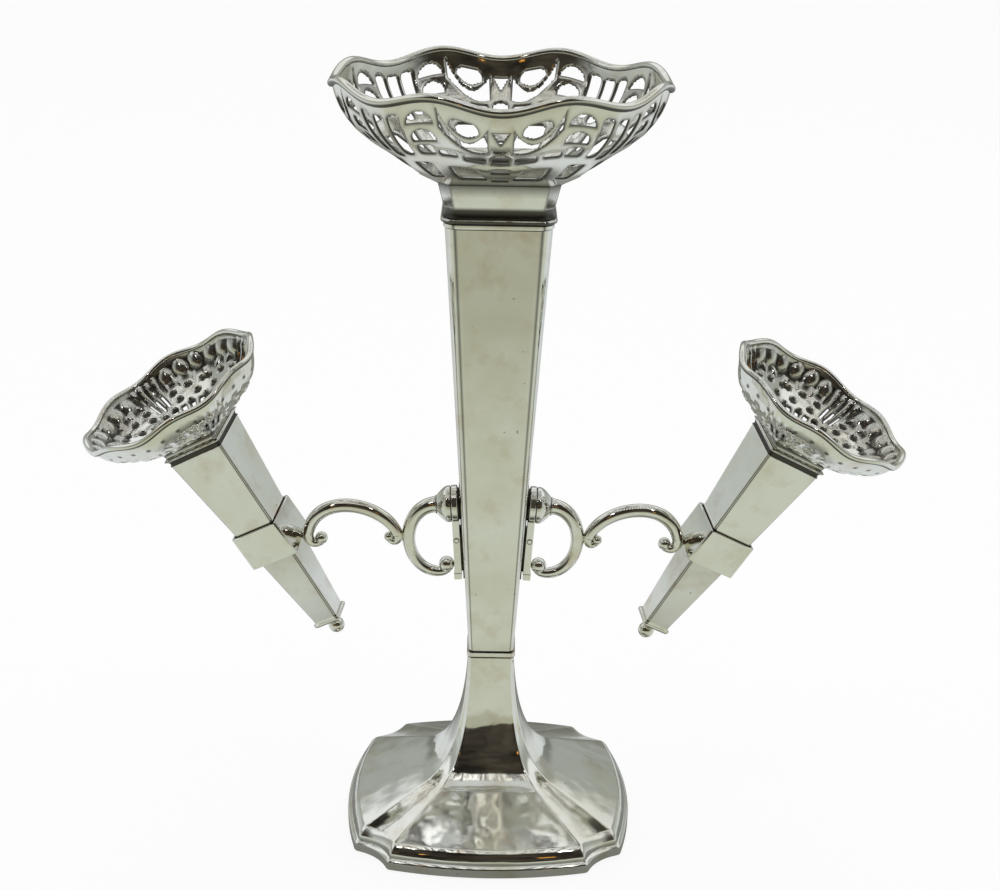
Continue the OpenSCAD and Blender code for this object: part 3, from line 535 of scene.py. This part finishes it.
# Rails on the column and the arms' slotted bars: each rail is a T-section on a thin plate, soldered
# to the column's side, and the bar of an arm drops over it. The bars are plain plated metal; the
# plates and rails behind them have tarnished, and are painted near black partly for the tarnish and
# partly as painted shade of the gap between the bars and the column.
tarnish_and_shade = unpolished("shaded_tarnished_silver_plate", 0.003, 0.35, 0.7, ("#1F1C18", "#4A443A"), (0.38, 0.22))[0]
SIDES = (("left", True), ("right", False))
for side, _ in SIDES:
    for name, finish in (("rail_plate", tarnish_and_shade), ("arm_rail", tarnish_and_shade),
                         ("slide_bar", silver), ("bar_tip", silver)):
        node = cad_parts[f"{name}_{side}"]
        node.data.materials.clear()
        node.data.materials.append(finish)

# Lock screws: a small screw let into the front of each bar, filed flush with its face and plated with
# it, so that only a dark ring shows round its head: the head's side and rim are painted dark.
BRACKET_X, BRACKET_Z, LEAN = 11.8483, 124.9, math.atan(10.2 / 162.4)
BAR_X, BAR_T, BAR_W = 1.2, 2.5, 7.2


def placed(grid, x=BRACKET_X, z=BRACKET_Z, lean=LEAN):
    """Points of a leaning frame, the arm's unless another is named: turned about Y by the lean, then
    moved to x and z."""
    c, s = math.cos(lean), math.sin(lean)
    return np.stack([x + grid[..., 0] * c + grid[..., 2] * s, grid[..., 1],
                     z - grid[..., 0] * s + grid[..., 2] * c], -1)


def turned(profile, n=48):
    """A profile of radius and height carried round the axis."""
    p = np.asarray(profile, float)
    q = around(n)
    return np.stack([p[:, :1] * np.cos(q), p[:, :1] * np.sin(q), np.broadcast_to(p[:, 1:], (len(p), n))], -1)


SCREW_DROP, SCREW_DEPTH = 13.3, 1.1
screw_rows = np.array([[0, 0, 1], [1.08, 0, 1], [1.08, 1.0, 1], [0.95, 1.12, 1],
                       [0.85, 1.2, 0.3], [0.7, 1.24, 0], [0.4, 1.26, 0], [0, 1.26, 0]])
disc = turned(screw_rows[:, :2], 24)
disc = np.stack([BAR_X + BAR_T / 2 + disc[..., 0], -BAR_W / 2 + SCREW_DEPTH - disc[..., 2],
                 disc[..., 1] - SCREW_DROP], -1)
for side, mirrored in SIDES:
    screw = build(f"lock_screw_head_{side}", [skin(placed(disc))], silver, mirrored,
                  painted_shade=np.repeat(screw_rows[:, 2], 24))
    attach(screw, f"arm_{side}")
    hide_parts(f"lock_screw_{side}")

# Ferrules: a turned silver boss at the head of each bar, with two broad rings and a bell that
# narrows to a small collar round the scroll. Its back, the groove between the rings and the
# collar's foot are painted dark as shade.
FERRULE_END = 9.6
u = np.linspace(0, 1, 11)
bell = np.stack([3.4 + 3.05 * (1 - u ** 1.25), 4.5 + 3.35 * u, 0 * u], -1)
rings = [[0, -0.5, 1], [5.8, -0.5, 1], [5.9, -0.4, 1], [5.9, 0, 1], [6.4, 0, 1], [6.7, 0.12, 0.6], [6.88, 0.4, 0],
         [6.88, 2.1, 0], [6.7, 2.3, 0.3], [6.35, 2.4, 1], [6.35, 2.58, 1], [6.6, 2.68, 0.3], [6.74, 2.95, 0],
         [6.7, 3.9, 0], [6.55, 4.35, 0]]
collar = [[3.2, 7.88, 0.9], [3.2, 7.98, 0.9], [3.5, 8.08, 0], [3.55, 8.22, 0], [3.4, 8.36, 0.3], [3.1, 8.4, 0.8],
          [0, 8.4, 0]]
ferrule_rows = np.concatenate([rings, bell, collar])
boss = turned(ferrule_rows[:, :2], 64)
boss = np.stack([BAR_X + boss[..., 2], boss[..., 0], boss[..., 1]], -1)
for side, mirrored in SIDES:
    ferrule = build(f"ferrule_boss_{side}", [skin(placed(boss))], silver, mirrored,
                    painted_shade=np.repeat(ferrule_rows[:, 2], 64))
    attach(ferrule, f"arm_{side}")
    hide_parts(f"ferrule_{side}")

# Inner scrolls: cast and filed C-scrolls that leave the ferrule, taper as they sweep down and end
# in a ball against the bar.
def rod(path, radii, n=24):
    """Round rod along a path of x, z points with a radius at each, closed by rounded ends."""
    path, radii = np.asarray(path, float), np.asarray(radii, float)
    way = unit(np.gradient(path, axis=0))
    t = np.linspace(0, math.pi / 2, 7)[1:]
    first = path[0] - way[0] * radii[0] * np.sin(t[::-1, None])
    last = path[-1] + way[-1] * radii[-1] * np.sin(t[:, None])
    path = np.concatenate([first, path, last])
    way = np.concatenate([np.repeat(way[:1], 6, 0), way, np.repeat(way[-1:], 6, 0)])
    radii = np.concatenate([radii[0] * np.cos(t[::-1]), radii, radii[-1] * np.cos(t)])[:, None]
    q = around(n)[None]
    side = radii * np.cos(q)
    return np.stack([path[:, :1] - way[:, 1:] * side, -radii * np.sin(q), path[:, 1:] + way[:, :1] * side], -1)


def ball(x, z, r, n=32):
    """Sphere of radius r at x, z, turned as a half circle carried round."""
    t = np.linspace(-math.pi / 2, math.pi / 2, n // 2 + 1)
    return turned(np.stack([r * np.cos(t), r * np.sin(t)], -1), n) + [x, 0, z]


SCROLL_REACH, SCROLL_DROP = 10.6, 25.4
k = np.linspace(0, 1, 49)
sweep = np.radians(170 * k)
c_path = np.stack([FERRULE_END + SCROLL_REACH * np.sin(sweep), (SCROLL_DROP / 2 + 0.6) * (np.cos(sweep) - 1)], -1)
curl = bezier([c_path[-1], c_path[-1] + [-2.6, -0.7], [6.2, -26.7], [5.9, -24.6]], np.linspace(0, 1, 15)[1:])
c_radii = np.concatenate([3.1 - 1.05 * k ** 0.6, np.linspace(2.05, 1.3, 15)[1:]])
c_scroll = [rod(np.concatenate([c_path, curl]), c_radii), ball(6.7, -23.9, 2.95)]
for side, mirrored in SIDES:
    inner_scroll = build(f"inner_scroll_cast_{side}", [skin(placed(g)) for g in c_scroll], silver, mirrored)
    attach(inner_scroll, f"arm_{side}")
    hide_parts(f"inner_scroll_{side}")

# Outer scrolls: cast arches soldered between the inner scroll and the vase's sleeve. The inner end
# runs into the inner scroll over a small curled ball; the outer end hooks under to a larger one.
VASE_REACH, VASE_Z = 58.5, 72.8
TILT, VASE_LEAN, VASE_TURN = math.radians(31), math.radians(6), math.radians(14)
TUBE_LOW, TUBE_TOP, VASE_LOW, VASE_HIGH, VASE_WALL = 6.4, 89.4, 4.9, 11.2, 0.9
SLEEVE_LOW, SLEEVE_TOP, SLEEVE_JOINT = 38.7, 53.1, 43.02
ARCH_R = 2.6


def vase_half(t):
    """Half width of the vase's tube at a place along its axis."""
    return VASE_LOW + (VASE_HIGH - VASE_LOW) * (t - TUBE_LOW) / (TUBE_TOP - TUBE_LOW)


SLEEVE_HALF = vase_half(SLEEVE_TOP) + 1.4
k = np.linspace(0, 1, 41)
arch = bezier([[24.3, -10.6], [29, 1.5], [52.5, 7.2], [57.2, -8.8]], k)
hook = bezier([[57.2, -8.8], [57.8, -11.3], [56.0, -14.4], [52.9, -12.9]], np.linspace(0, 1, 17)[1:])
curl = bezier([[24.3, -10.6], [23.4, -12.7], [25.0, -15.3], [27.3, -13.0]], np.linspace(0, 1, 17))
arch_radii = np.concatenate([ARCH_R - 0.5 * (1 - k) ** 4 - 0.3 * k ** 4, np.linspace(2.3, 1.5, 17)[1:]])
arch_scroll = [rod(np.concatenate([arch, hook]), arch_radii), rod(curl, np.linspace(2.0, 1.25, 17)),
               ball(27.5, -12.0, 1.75), ball(52.4, -11.4, 2.35)]
for side, mirrored in SIDES:
    outer_scroll = build(f"outer_scroll_cast_{side}", [skin(placed(g)) for g in arch_scroll], silver, mirrored)
    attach(outer_scroll, f"arm_{side}")
    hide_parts(f"outer_scroll_{side}")

# Sleeves: a square band of sheet at the end of each arm, tapered inside so that the vase drops in
# and wedges on its foot. Its edges are rounded a little, and the gap at its top and its lower edge
# are painted dark as shade.
def at_vase(grid):
    """Points of the vase's frame: turned on its axis, leaned to the front about the arm's joint on
    the sleeve, then tilted out from the column."""
    x, y = grid[..., 0], grid[..., 1]
    side = x * math.cos(VASE_TURN) - y * math.sin(VASE_TURN)
    deep = x * math.sin(VASE_TURN) + y * math.cos(VASE_TURN)
    above = grid[..., 2] - SLEEVE_JOINT
    tipped = np.stack([side, deep * math.cos(VASE_LEAN) - above * math.sin(VASE_LEAN),
                       deep * math.sin(VASE_LEAN) + above * math.cos(VASE_LEAN) + SLEEVE_JOINT], -1)
    return placed(tipped, VASE_REACH, VASE_Z, TILT)


# Rows of half width, height, cut corner, rounding and painted shade.
sleeve_rows = np.array([
    [SLEEVE_HALF - 0.25, SLEEVE_LOW, 0.75, 0.2, 0.4],
    [SLEEVE_HALF - 0.05, SLEEVE_LOW + 0.1, 0.8, 0.4, 0],
    [SLEEVE_HALF, SLEEVE_LOW + 0.35, 0.8, 0.4, 0],
    [SLEEVE_HALF, SLEEVE_TOP - 0.35, 0.8, 0.4, 0],
    [SLEEVE_HALF - 0.05, SLEEVE_TOP - 0.1, 0.8, 0.4, 0],
    [SLEEVE_HALF - 0.25, SLEEVE_TOP, 0.75, 0.2, 0],
    [vase_half(SLEEVE_TOP) + 0.55, SLEEVE_TOP, 0.8, 0.15, 0.2],
    [vase_half(SLEEVE_TOP) + 0.4, SLEEVE_TOP - 0.15, 0.8, 0.15, 1],
    [vase_half(SLEEVE_LOW) + 0.05, SLEEVE_LOW, 0.8, 0.15, 1]])
band = at_vase(square_rings(*sleeve_rows.T[:4]))
for side, mirrored in SIDES:
    sleeve = build(f"sleeve_band_{side}", [skin(band, closed=True)], silver, mirrored,
                   painted_shade=np.repeat(sleeve_rows[:, 4], band.shape[1]))
    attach(sleeve, f"arm_{side}")
    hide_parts(f"sleeve_{side}")

# Vase finials and caps: a turned ball on a short neck under a square cap plate whose edge curls
# over, which closes the foot of the vase.
FINIAL_R = 3
t = np.radians(np.linspace(-90, 58, 20))
finial_rows = np.concatenate([FINIAL_R * np.stack([np.cos(t), np.sin(t)], -1),
                              [[1.45, 2.7], [1.5, 3.0], [1.8, 3.4], [0, 3.4]]])
cap_rows = np.array([
    [0.01, 3.4, 0.002, 0.0005], [1.9, 3.4, 0.3, 0.05], [3.6, 3.55, 0.6, 0.1],
    [5.0, 4.0, 0.75, 0.12], [5.45, 4.35, 0.8, 0.15], [5.68, 4.75, 0.8, 0.15],
    [5.7, 5.15, 0.8, 0.15], [5.55, 5.5, 0.8, 0.15], [5.2, 5.62, 0.8, 0.15],
    [5.05, 5.75, 0.8, 0.15], [5.0, 6.1, 0.8, 0.15], [4.9, 6.4, 0.8, 0.15],
    [0.01, 6.4, 0.002, 0.0005]])
caps = square_rings(*cap_rows.T, support=0.0005)
caps[[0, -1], :, :2] = 0
for side, mirrored in SIDES:
    finial = build(f"vase_finial_ball_{side}", [skin(at_vase(turned(finial_rows, 40)))], silver, mirrored)
    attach(finial, f"vase_{side}")
    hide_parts(f"vase_finial_{side}")
    cap = build(f"vase_cap_plate_{side}", [skin(at_vase(caps))], silver, mirrored)
    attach(cap, f"vase_{side}")
    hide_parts(f"vase_cap_{side}")

# Vase tubes: tapering square sheet tubes with narrow cut corners, folded and seamed like the
# column, that hold a little water.
tube_z = np.array([TUBE_LOW, SLEEVE_TOP - 0.5, SLEEVE_TOP - 0.2, SLEEVE_TOP + 0.15, SLEEVE_TOP + 0.45, TUBE_TOP])
tube_half = np.append(vase_half(tube_z), [VASE_HIGH - VASE_WALL, VASE_LOW - VASE_WALL])
rings = square_rings(tube_half, np.append(tube_z, [TUBE_TOP, TUBE_LOW]), [0.8] * 6 + [0.3, 0.3],
                     [0.46] * 6 + [0.05, 0.05], support=0.08)
# Painted shade at the sleeve's top edge, and a dark line of painted shade on each fold.
tube_painted_shade = np.maximum(np.array([0, 0.2, 1, 0.9, 0, 0, 0, 0])[:, None],
                         np.tile([0, 0, 0, 0.3, 0.95, 0.5, 0, 0, 0.5, 0.95, 0.3, 0, 0, 0], 4))
for side, mirrored in SIDES:
    tube = build(f"vase_tube_sheet_{side}", [skin(at_vase(rings), closed=True)], silver, mirrored,
                 painted_shade=tube_painted_shade)
    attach(tube, f"vase_{side}")
    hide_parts(f"vase_tube_{side}")

# Vase mouldings: a strip with a crisp lower edge, a deep cove and a fillet, mitred round the top of
# each tube under its bowl.
# The third column of each row is painted shade: the cove is painted dark and the strip's upper edge a little.
b = np.radians(np.linspace(0, 180, 9))
vase_cove = np.stack([11.25 - 0.4 * np.sin(b) + 0.5 * b / math.pi, 89.75 + 2.15 * b / math.pi,
                      0.97 + 0.03 * np.sin(b)], -1)
strip_rows = np.concatenate([[[11.2, 89.4, 0], [11.45, 89.48, 0], [11.5, 89.6, 0], [11.42, 89.72, 0.1]], vase_cove,
                             [[11.95, 91.94, 0.4], [12.1, 92.0, 0], [12.15, 92.22, 0], [12.02, 92.4, 0.3]]])
strip = moulding(strip_rows[:, :2], 0.8, 0.15, VASE_HIGH - VASE_WALL, 0.3)
for side, mirrored in SIDES:
    collar = build(f"vase_moulding_strip_{side}", [skin(at_vase(strip), closed=True)], silver, mirrored,
                   painted_shade=np.repeat(np.append(strip_rows[:, 2], [0, 0]), strip.shape[1]))
    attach(collar, f"vase_{side}")
    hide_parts(f"vase_moulding_{side}")

# Vase bowls: small raised bowls, embossed from outside with a row of bosses under the edge, leaves and
# dimples below and fans of flutes at the corners, and sawn out in slots near the neck and in the fans.
VASE_BOWL_Z, VASE_BOWL_H, VASE_BOWL_R, VASE_WAVE = 92.4, 19.0, 34.6, 1.8
VASE_NECK_H, VASE_FLARE, VASE_CUT = 2.0, 0.4, 0.8
BOSS_PITCH = 11.4


def spaced(a, pitch):
    """Degrees to the nearest of a row of places a pitch apart, the first one half a pitch from 0."""
    return np.abs(a % pitch - pitch / 2)


def vase_openings(a, s, r):
    """Distance to the nearest hole: a row of sawn slots near the neck, and slits in the corner fans."""
    along = np.radians(1) * r
    on = spaced(a, BOSS_PITCH) * along
    lower = slot_box(on, s - 6.0, 0.45 + 0.07 * s, 2.3, 0.5)
    fan = spaced(a - 45 + 2.75, 5.5) * along
    slit = np.where(a > 37, slot_box(fan, s - 16.5, 0.42, 3.6, 0.35), 9)
    return np.minimum(lower, slit)


def vase_relief(a, s, r, length):
    """Relief of the inner face in millimetres: half-round bosses under the edge, slanting leaves below
    them, a plain raised floor with dimples, and corner flutes that follow a cosine of the angle."""
    along = np.radians(1) * r
    on = spaced(a, BOSS_PITCH) * along
    between = spaced(a + BOSS_PITCH / 2, BOSS_PITCH) * along
    drift = 0.6 * np.sin(2.3 * np.floor(a / BOSS_PITCH) + 1)
    boss = np.hypot(on / 3.1, (s - (length - 5.0 + drift)) / 3.5)
    bosses = np.where(a < 34.2, 1.25 * np.clip(1 - boss ** 2, 0, 1) ** 0.8, 0)
    leaf = np.hypot((between - 0.35 * (s - length + 10)) / 1.9, (s - (length - 10.4 - drift)) / 3.2)
    leaves = np.where(a < 33, 1.2 * np.clip(1 - leaf ** 2, 0, 1) ** 0.7, 0)
    dimple = np.minimum.reduce([np.hypot(spaced(a, 19) * along / 1.7, (s - 12.4) / 1.7),
                                np.hypot(spaced(a + 9.5, 19) * along / 1.4, (s - 8.4) / 1.9),
                                np.hypot(spaced(a + 4, 14) * along / 1.9, (s - 17.0) / 1.3)])
    ground = np.clip((length - 9.4 + drift - s) / 1.8, 0, 1) * np.clip((dimple - 0.75) / 0.3, 0, 1) * 0.75
    fade = np.clip((s - 0.3 * length) / 5, 0, 1) * np.clip((length - 1.2 - s) / 2.5, 0, 1)
    flutes = np.where(a > 34.5, 0.6 * (1 + np.cos(np.radians(360) * (a - 45) / 5.25 + math.pi)) * fade, 0)
    return np.maximum.reduce([bosses, leaves, flutes, ground])


def vase_dot_shade(a, s, r):
    """Painted shade of the outer face: two rows of punched dots painted dark, the upper between the bosses, the
    lower on them.
    """
    along = np.radians(1) * r
    upper = np.hypot(spaced(a + BOSS_PITCH / 2, BOSS_PITCH) * along, (s - 25.2) * 1.3)
    lower = np.hypot(spaced(a, BOSS_PITCH) * along * 0.8, (s - 20.6) * 1.5)
    return 0.9 * np.clip((1.15 - np.minimum(upper, lower + 0.2)) / 0.5, 0, 1) * (a < 40)


small_skin, small_painted_shade = pierced_bowl(VASE_BOWL_Z, VASE_HIGH, VASE_NECK_H, VASE_FLARE, VASE_CUT, VASE_BOWL_R,
                                        VASE_BOWL_H, VASE_WAVE, VASE_WALL, vase_openings, vase_relief,
                                        vase_dot_shade, 54, 64)
shape = (at_vase(small_skin[0]), small_skin[1])
for side, mirrored in SIDES:
    vase_bowl = build(f"vase_bowl_sheet_{side}", [shape], raised, mirrored, painted_shade=small_painted_shade)
    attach(vase_bowl, f"vase_{side}")
    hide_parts(f"vase_bowl_{side}")

# Edge wires of the vase bowls: thinner round silver wires, bent in eight waves like the centre
# bowl's and soldered over the edges.
VASE_WIRE = 1.1
wire = at_vase(edge_wire(VASE_BOWL_R, VASE_BOWL_Z + VASE_BOWL_H, VASE_WAVE, VASE_WIRE, 256, 16))
for side, mirrored in SIDES:
    vase_wire = build(f"vase_rim_edge_{side}", [skin(wire, closed=True)], silver, mirrored, painted_shade=underside_shade(256, 16))
    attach(vase_wire, f"vase_{side}")
    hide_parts(f"vase_rim_wire_{side}")

# Studio: a pale floor that is white to the camera apart from the soft shadow, and to the metal a
# warm grey table in front that turns paler to the sides and back, drawn as a glow of painted
# light with a painted contact shadow round the foot.
floor_mesh = bpy.data.meshes.new("floor")
floor_mesh.from_pydata([(-6, -6, 0), (6, -6, 0), (6, 6, 0), (-6, 6, 0)], [], [(0, 1, 2, 3)])
floor = bpy.data.objects.new("floor", floor_mesh)
bpy.context.collection.objects.link(floor)
floor_look = bpy.data.materials.new("pale_table")
floor_look.use_nodes = True
floor_mesh.materials.append(floor_look)
tree = floor_look.node_tree
tree.nodes.clear()
path = add_node(tree, "LightPath", {})
place = add_node(tree, "TexCoord", {}).outputs["Object"]
axes = add_node(tree, "SeparateXYZ", {0: place})
front = add_node(tree, "MapRange", {"Value": axes.outputs["Y"], 1: 0.0, 2: -0.09},
                 interpolation_type="SMOOTHSTEP")
away = add_node(tree, "MapRange", {"Value": axes.outputs["Y"], 1: -0.29, 2: -0.5})
cloth = add_node(tree, "Mix", {0: away, 6: linear("#CDD1C2"), 7: linear("#B4B4A0")}, data_type="RGBA")
bearing = add_node(tree, "VectorMath", {0: place}, operation="NORMALIZE")
toward = add_node(tree, "VectorMath", {0: bearing, 1: (0, 1, 0)}, operation="DOT_PRODUCT")
behind = add_node(tree, "MapRange", {"Value": toward, 1: 0.88, 2: 0.97}, interpolation_type="SMOOTHSTEP")
wings = add_node(tree, "Mix", {0: behind, 6: linear("#DDE1E2"), 7: linear("#8F918A")}, data_type="RGBA")
table = add_node(tree, "Mix", {0: front, 6: wings, 7: cloth}, data_type="RGBA")
# Painted contact shadow: the table's glow darkens close to the foot.
reach = add_node(tree, "VectorMath", {0: place}, operation="LENGTH")
contact_shadow = add_node(tree, "MapRange", {"Value": reach, 1: 0.125, 2: 0.06, 3: 0.0, 4: 0.75},
                   interpolation_type="SMOOTHSTEP")
seen = add_node(tree, "Mix", {0: contact_shadow, 6: table, 7: linear("#4B4A42")}, data_type="RGBA")
glow = add_node(tree, "Emission", {"Color": seen, "Strength": 1.0})
paper = add_node(tree, "BsdfDiffuse", {"Color": (0.2, 0.2, 0.2, 1)})
white = add_node(tree, "Emission", {"Color": (1, 1, 1, 1), "Strength": 0.86})
sheet = add_node(tree, "AddShader", {0: paper, 1: white})
shown = add_node(tree, "MixShader", {0: path.outputs["Is Camera Ray"], 1: glow, 2: sheet})
add_node(tree, "OutputMaterial", {"Surface": shown})

# Studio surroundings: white to the camera; to the metal a pale room with a dark front behind the
# camera, a ceiling in patches and a row of small lights.
world = bpy.data.worlds.new("studio")
bpy.context.scene.world = world
world.use_nodes = True
tree = world.node_tree
tree.nodes.clear()
path = add_node(tree, "LightPath", {})
way = add_node(tree, "TexCoord", {}).outputs["Generated"]
axes = add_node(tree, "SeparateXYZ", {0: way})
height = axes.outputs["Z"]
flat = add_node(tree, "VectorMath", {0: way, 1: (1, 1, 0)}, operation="MULTIPLY")
level = add_node(tree, "VectorMath", {0: flat}, operation="NORMALIZE")
facing = add_node(tree, "VectorMath", {0: level, 1: (0, -1, 0)}, operation="DOT_PRODUCT")
forward = add_node(tree, "Math", {0: axes.outputs["Y"], 1: -0.25, 2: height}, operation="MULTIPLY_ADD")
# Soft steps from one bearing or height to another, the last one tipped to the front.
front, rear, low, skirt, haze, above, zenith = (
    add_node(tree, "MapRange", {"Value": value, 1: start, 2: end}, interpolation_type="SMOOTHSTEP")
    for value, start, end in (
        (facing, 0.3, 0.66), (facing, -0.75, -0.92), (height, 0.955, 0.93), (height, 0.08, 0.28),
        (height, 0.38, 0.5), (height, 0.66, 0.76), (forward, 0.93, 0.965)))
murk = add_node(tree, "Math", {0: front, 1: low}, operation="MULTIPLY")
clutter = add_node(tree, "TexNoise", {"Vector": way, "Scale": 4.0, "Detail": 3, "Roughness": 0.6})
room = add_node(tree, "MapRange", {"Value": clutter, 1: 0.35, 2: 0.7})
dim = add_node(tree, "Mix", {0: room, 6: linear("#1E1C19"), 7: linear("#514B41")}, data_type="RGBA")
base = add_node(tree, "Mix", {0: rear, 6: linear("#C3C8C4"), 7: linear("#7E8079")}, data_type="RGBA")
wall = add_node(tree, "Mix", {0: skirt, 6: base, 7: linear("#A9ADA8")}, data_type="RGBA")
pale = add_node(tree, "Mix", {0: haze, 6: wall, 7: linear("#F4F6F6")}, data_type="RGBA")
# Two noises stretched across the room: patches of the ceiling, and bright flecks in them.
stretched = add_node(tree, "Mapping", {"Vector": way, "Scale": (8, 18, 18)})
mottle = add_node(tree, "TexNoise", {"Vector": stretched, "Scale": 1.0, "Detail": 3, "Roughness": 0.6})
spread = add_node(tree, "MapRange", {"Value": mottle, 1: 0.46, 2: 0.55})
patches = add_node(tree, "Mix", {0: spread, 6: linear("#353736"), 7: linear("#F2F4F2")}, data_type="RGBA")
fine = add_node(tree, "Mapping", {"Vector": way, "Scale": (20, 45, 45)})
flecks = add_node(tree, "TexNoise", {"Vector": fine, "Scale": 1.0, "Detail": 1, "Roughness": 0.5})
sparks = add_node(tree, "MapRange", {"Value": flecks, 1: 0.58, 2: 0.61})
dapple = add_node(tree, "Mix", {0: sparks, 6: patches, 7: (1.25, 1.25, 1.22, 1)}, data_type="RGBA")
ahead_up = add_node(tree, "Math", {0: above, 1: front}, operation="MAXIMUM")
ceiling = add_node(tree, "Mix", {0: ahead_up, 6: pale, 7: dapple}, data_type="RGBA")
lamp_glow = add_node(tree, "Mix", {0: zenith, 6: ceiling, 7: linear("#D4D7D6")}, data_type="RGBA")
unlit = add_node(tree, "Mix", {0: murk, 6: lamp_glow, 7: dim}, data_type="RGBA")
# The row of lights: a band of heights, cut into bulbs by a sine across the room.
spacing = add_node(tree, "Math", {0: axes.outputs["X"], 1: 110.0}, operation="MULTIPLY")
ripple = add_node(tree, "Math", {0: spacing}, operation="SINE")
row_low, row_high, bulbs = (
    add_node(tree, "MapRange", {"Value": value, 1: start, 2: end})
    for value, start, end in ((height, 0.8, 0.82), (height, 0.95, 0.93), (ripple, 0.0, 0.5)))
row = add_node(tree, "Math", {0: row_low, 1: row_high}, operation="MULTIPLY")
lit_row = add_node(tree, "Math", {0: row, 1: bulbs}, operation="MULTIPLY")
lights = add_node(tree, "Math", {0: lit_row, 1: front}, operation="MULTIPLY")
backdrop = add_node(tree, "Mix", {0: lights, 6: unlit, 7: (1.6, 1.58, 1.5, 1)}, data_type="RGBA")
room_glow = add_node(tree, "Background", {"Color": backdrop, "Strength": 1.0})
blank = add_node(tree, "Background", {"Color": (1, 1, 1, 1), "Strength": 1.0})
shown = add_node(tree, "MixShader", {0: path.outputs["Is Camera Ray"], 1: room_glow, 2: blank})
add_node(tree, "OutputWorld", {"Surface": shown})

# Lamps: a wide soft box overhead that gives the floor its shadow, two small lamps in front and two
# weak warm bulbs far behind the camera, which give the glints. All face one point on the column.
LIT = np.array([0, 0, 0.12])
for name, spot, size, power, tint in (
        ("overhead", (0.1, 0.1, 1.8), 2.4, 5, "#FFFFFF"),
        ("front_left", (-0.55, -0.75, 1.05), 0.09, 0.3, "#FFFFFF"),
        ("front_right", (0.5, -0.8, 1.1), 0.09, 0.3, "#FFFFFF"),
        ("bulb_left", (-0.5, -1.3, 0.62), 0.08, 0.03, "#FFB04A"),
        ("bulb_right", (0.44, -1.25, 0.58), 0.08, 0.03, "#FFB04A")):
    lamp = bpy.data.lights.new(name, "AREA")
    lamp.size = size
    lamp.energy = power
    lamp.color = linear(tint)[:3]
    holder = bpy.data.objects.new(name, lamp)
    bpy.context.collection.objects.link(holder)
    holder.visible_glossy = name != "overhead"
    aim = LIT - np.array(spot)
    holder.location = spot
    holder.rotation_euler = (math.acos(-aim[2] / np.linalg.norm(aim)), 0, math.atan2(aim[1], aim[0]) - math.pi / 2)

# Camera: a standard lens a little above the bowl, tipped down and rolled by a degree, for a frame
# of 1000 by 890.
IMAGE_W, FOCAL_PIXELS, EYE = 1000, 1895.4, (-0.00171, -0.6476, 0.3809)
PITCH, YAW, ROLL = math.radians(19.79), math.radians(0.32), math.radians(1.12)
ahead = Vector((math.sin(YAW) * math.cos(PITCH), math.cos(YAW) * math.cos(PITCH), -math.sin(PITCH)))
level = Vector((math.cos(YAW), -math.sin(YAW), 0))
rise = level.cross(ahead)
across = math.cos(ROLL) * level + math.sin(ROLL) * rise
upward = -math.sin(ROLL) * level + math.cos(ROLL) * rise
lens = bpy.data.cameras.new("camera")
lens.sensor_width = 36
lens.lens = lens.sensor_width * FOCAL_PIXELS / IMAGE_W
camera = bpy.data.objects.new("camera", lens)
bpy.context.collection.objects.link(camera)
turn = Matrix((across, upward, -ahead)).transposed().to_4x4()
camera.matrix_world = Matrix.Translation(EYE) @ turn
bpy.context.scene.camera = camera
bpy.context.scene.view_settings.view_transform = "Standard"
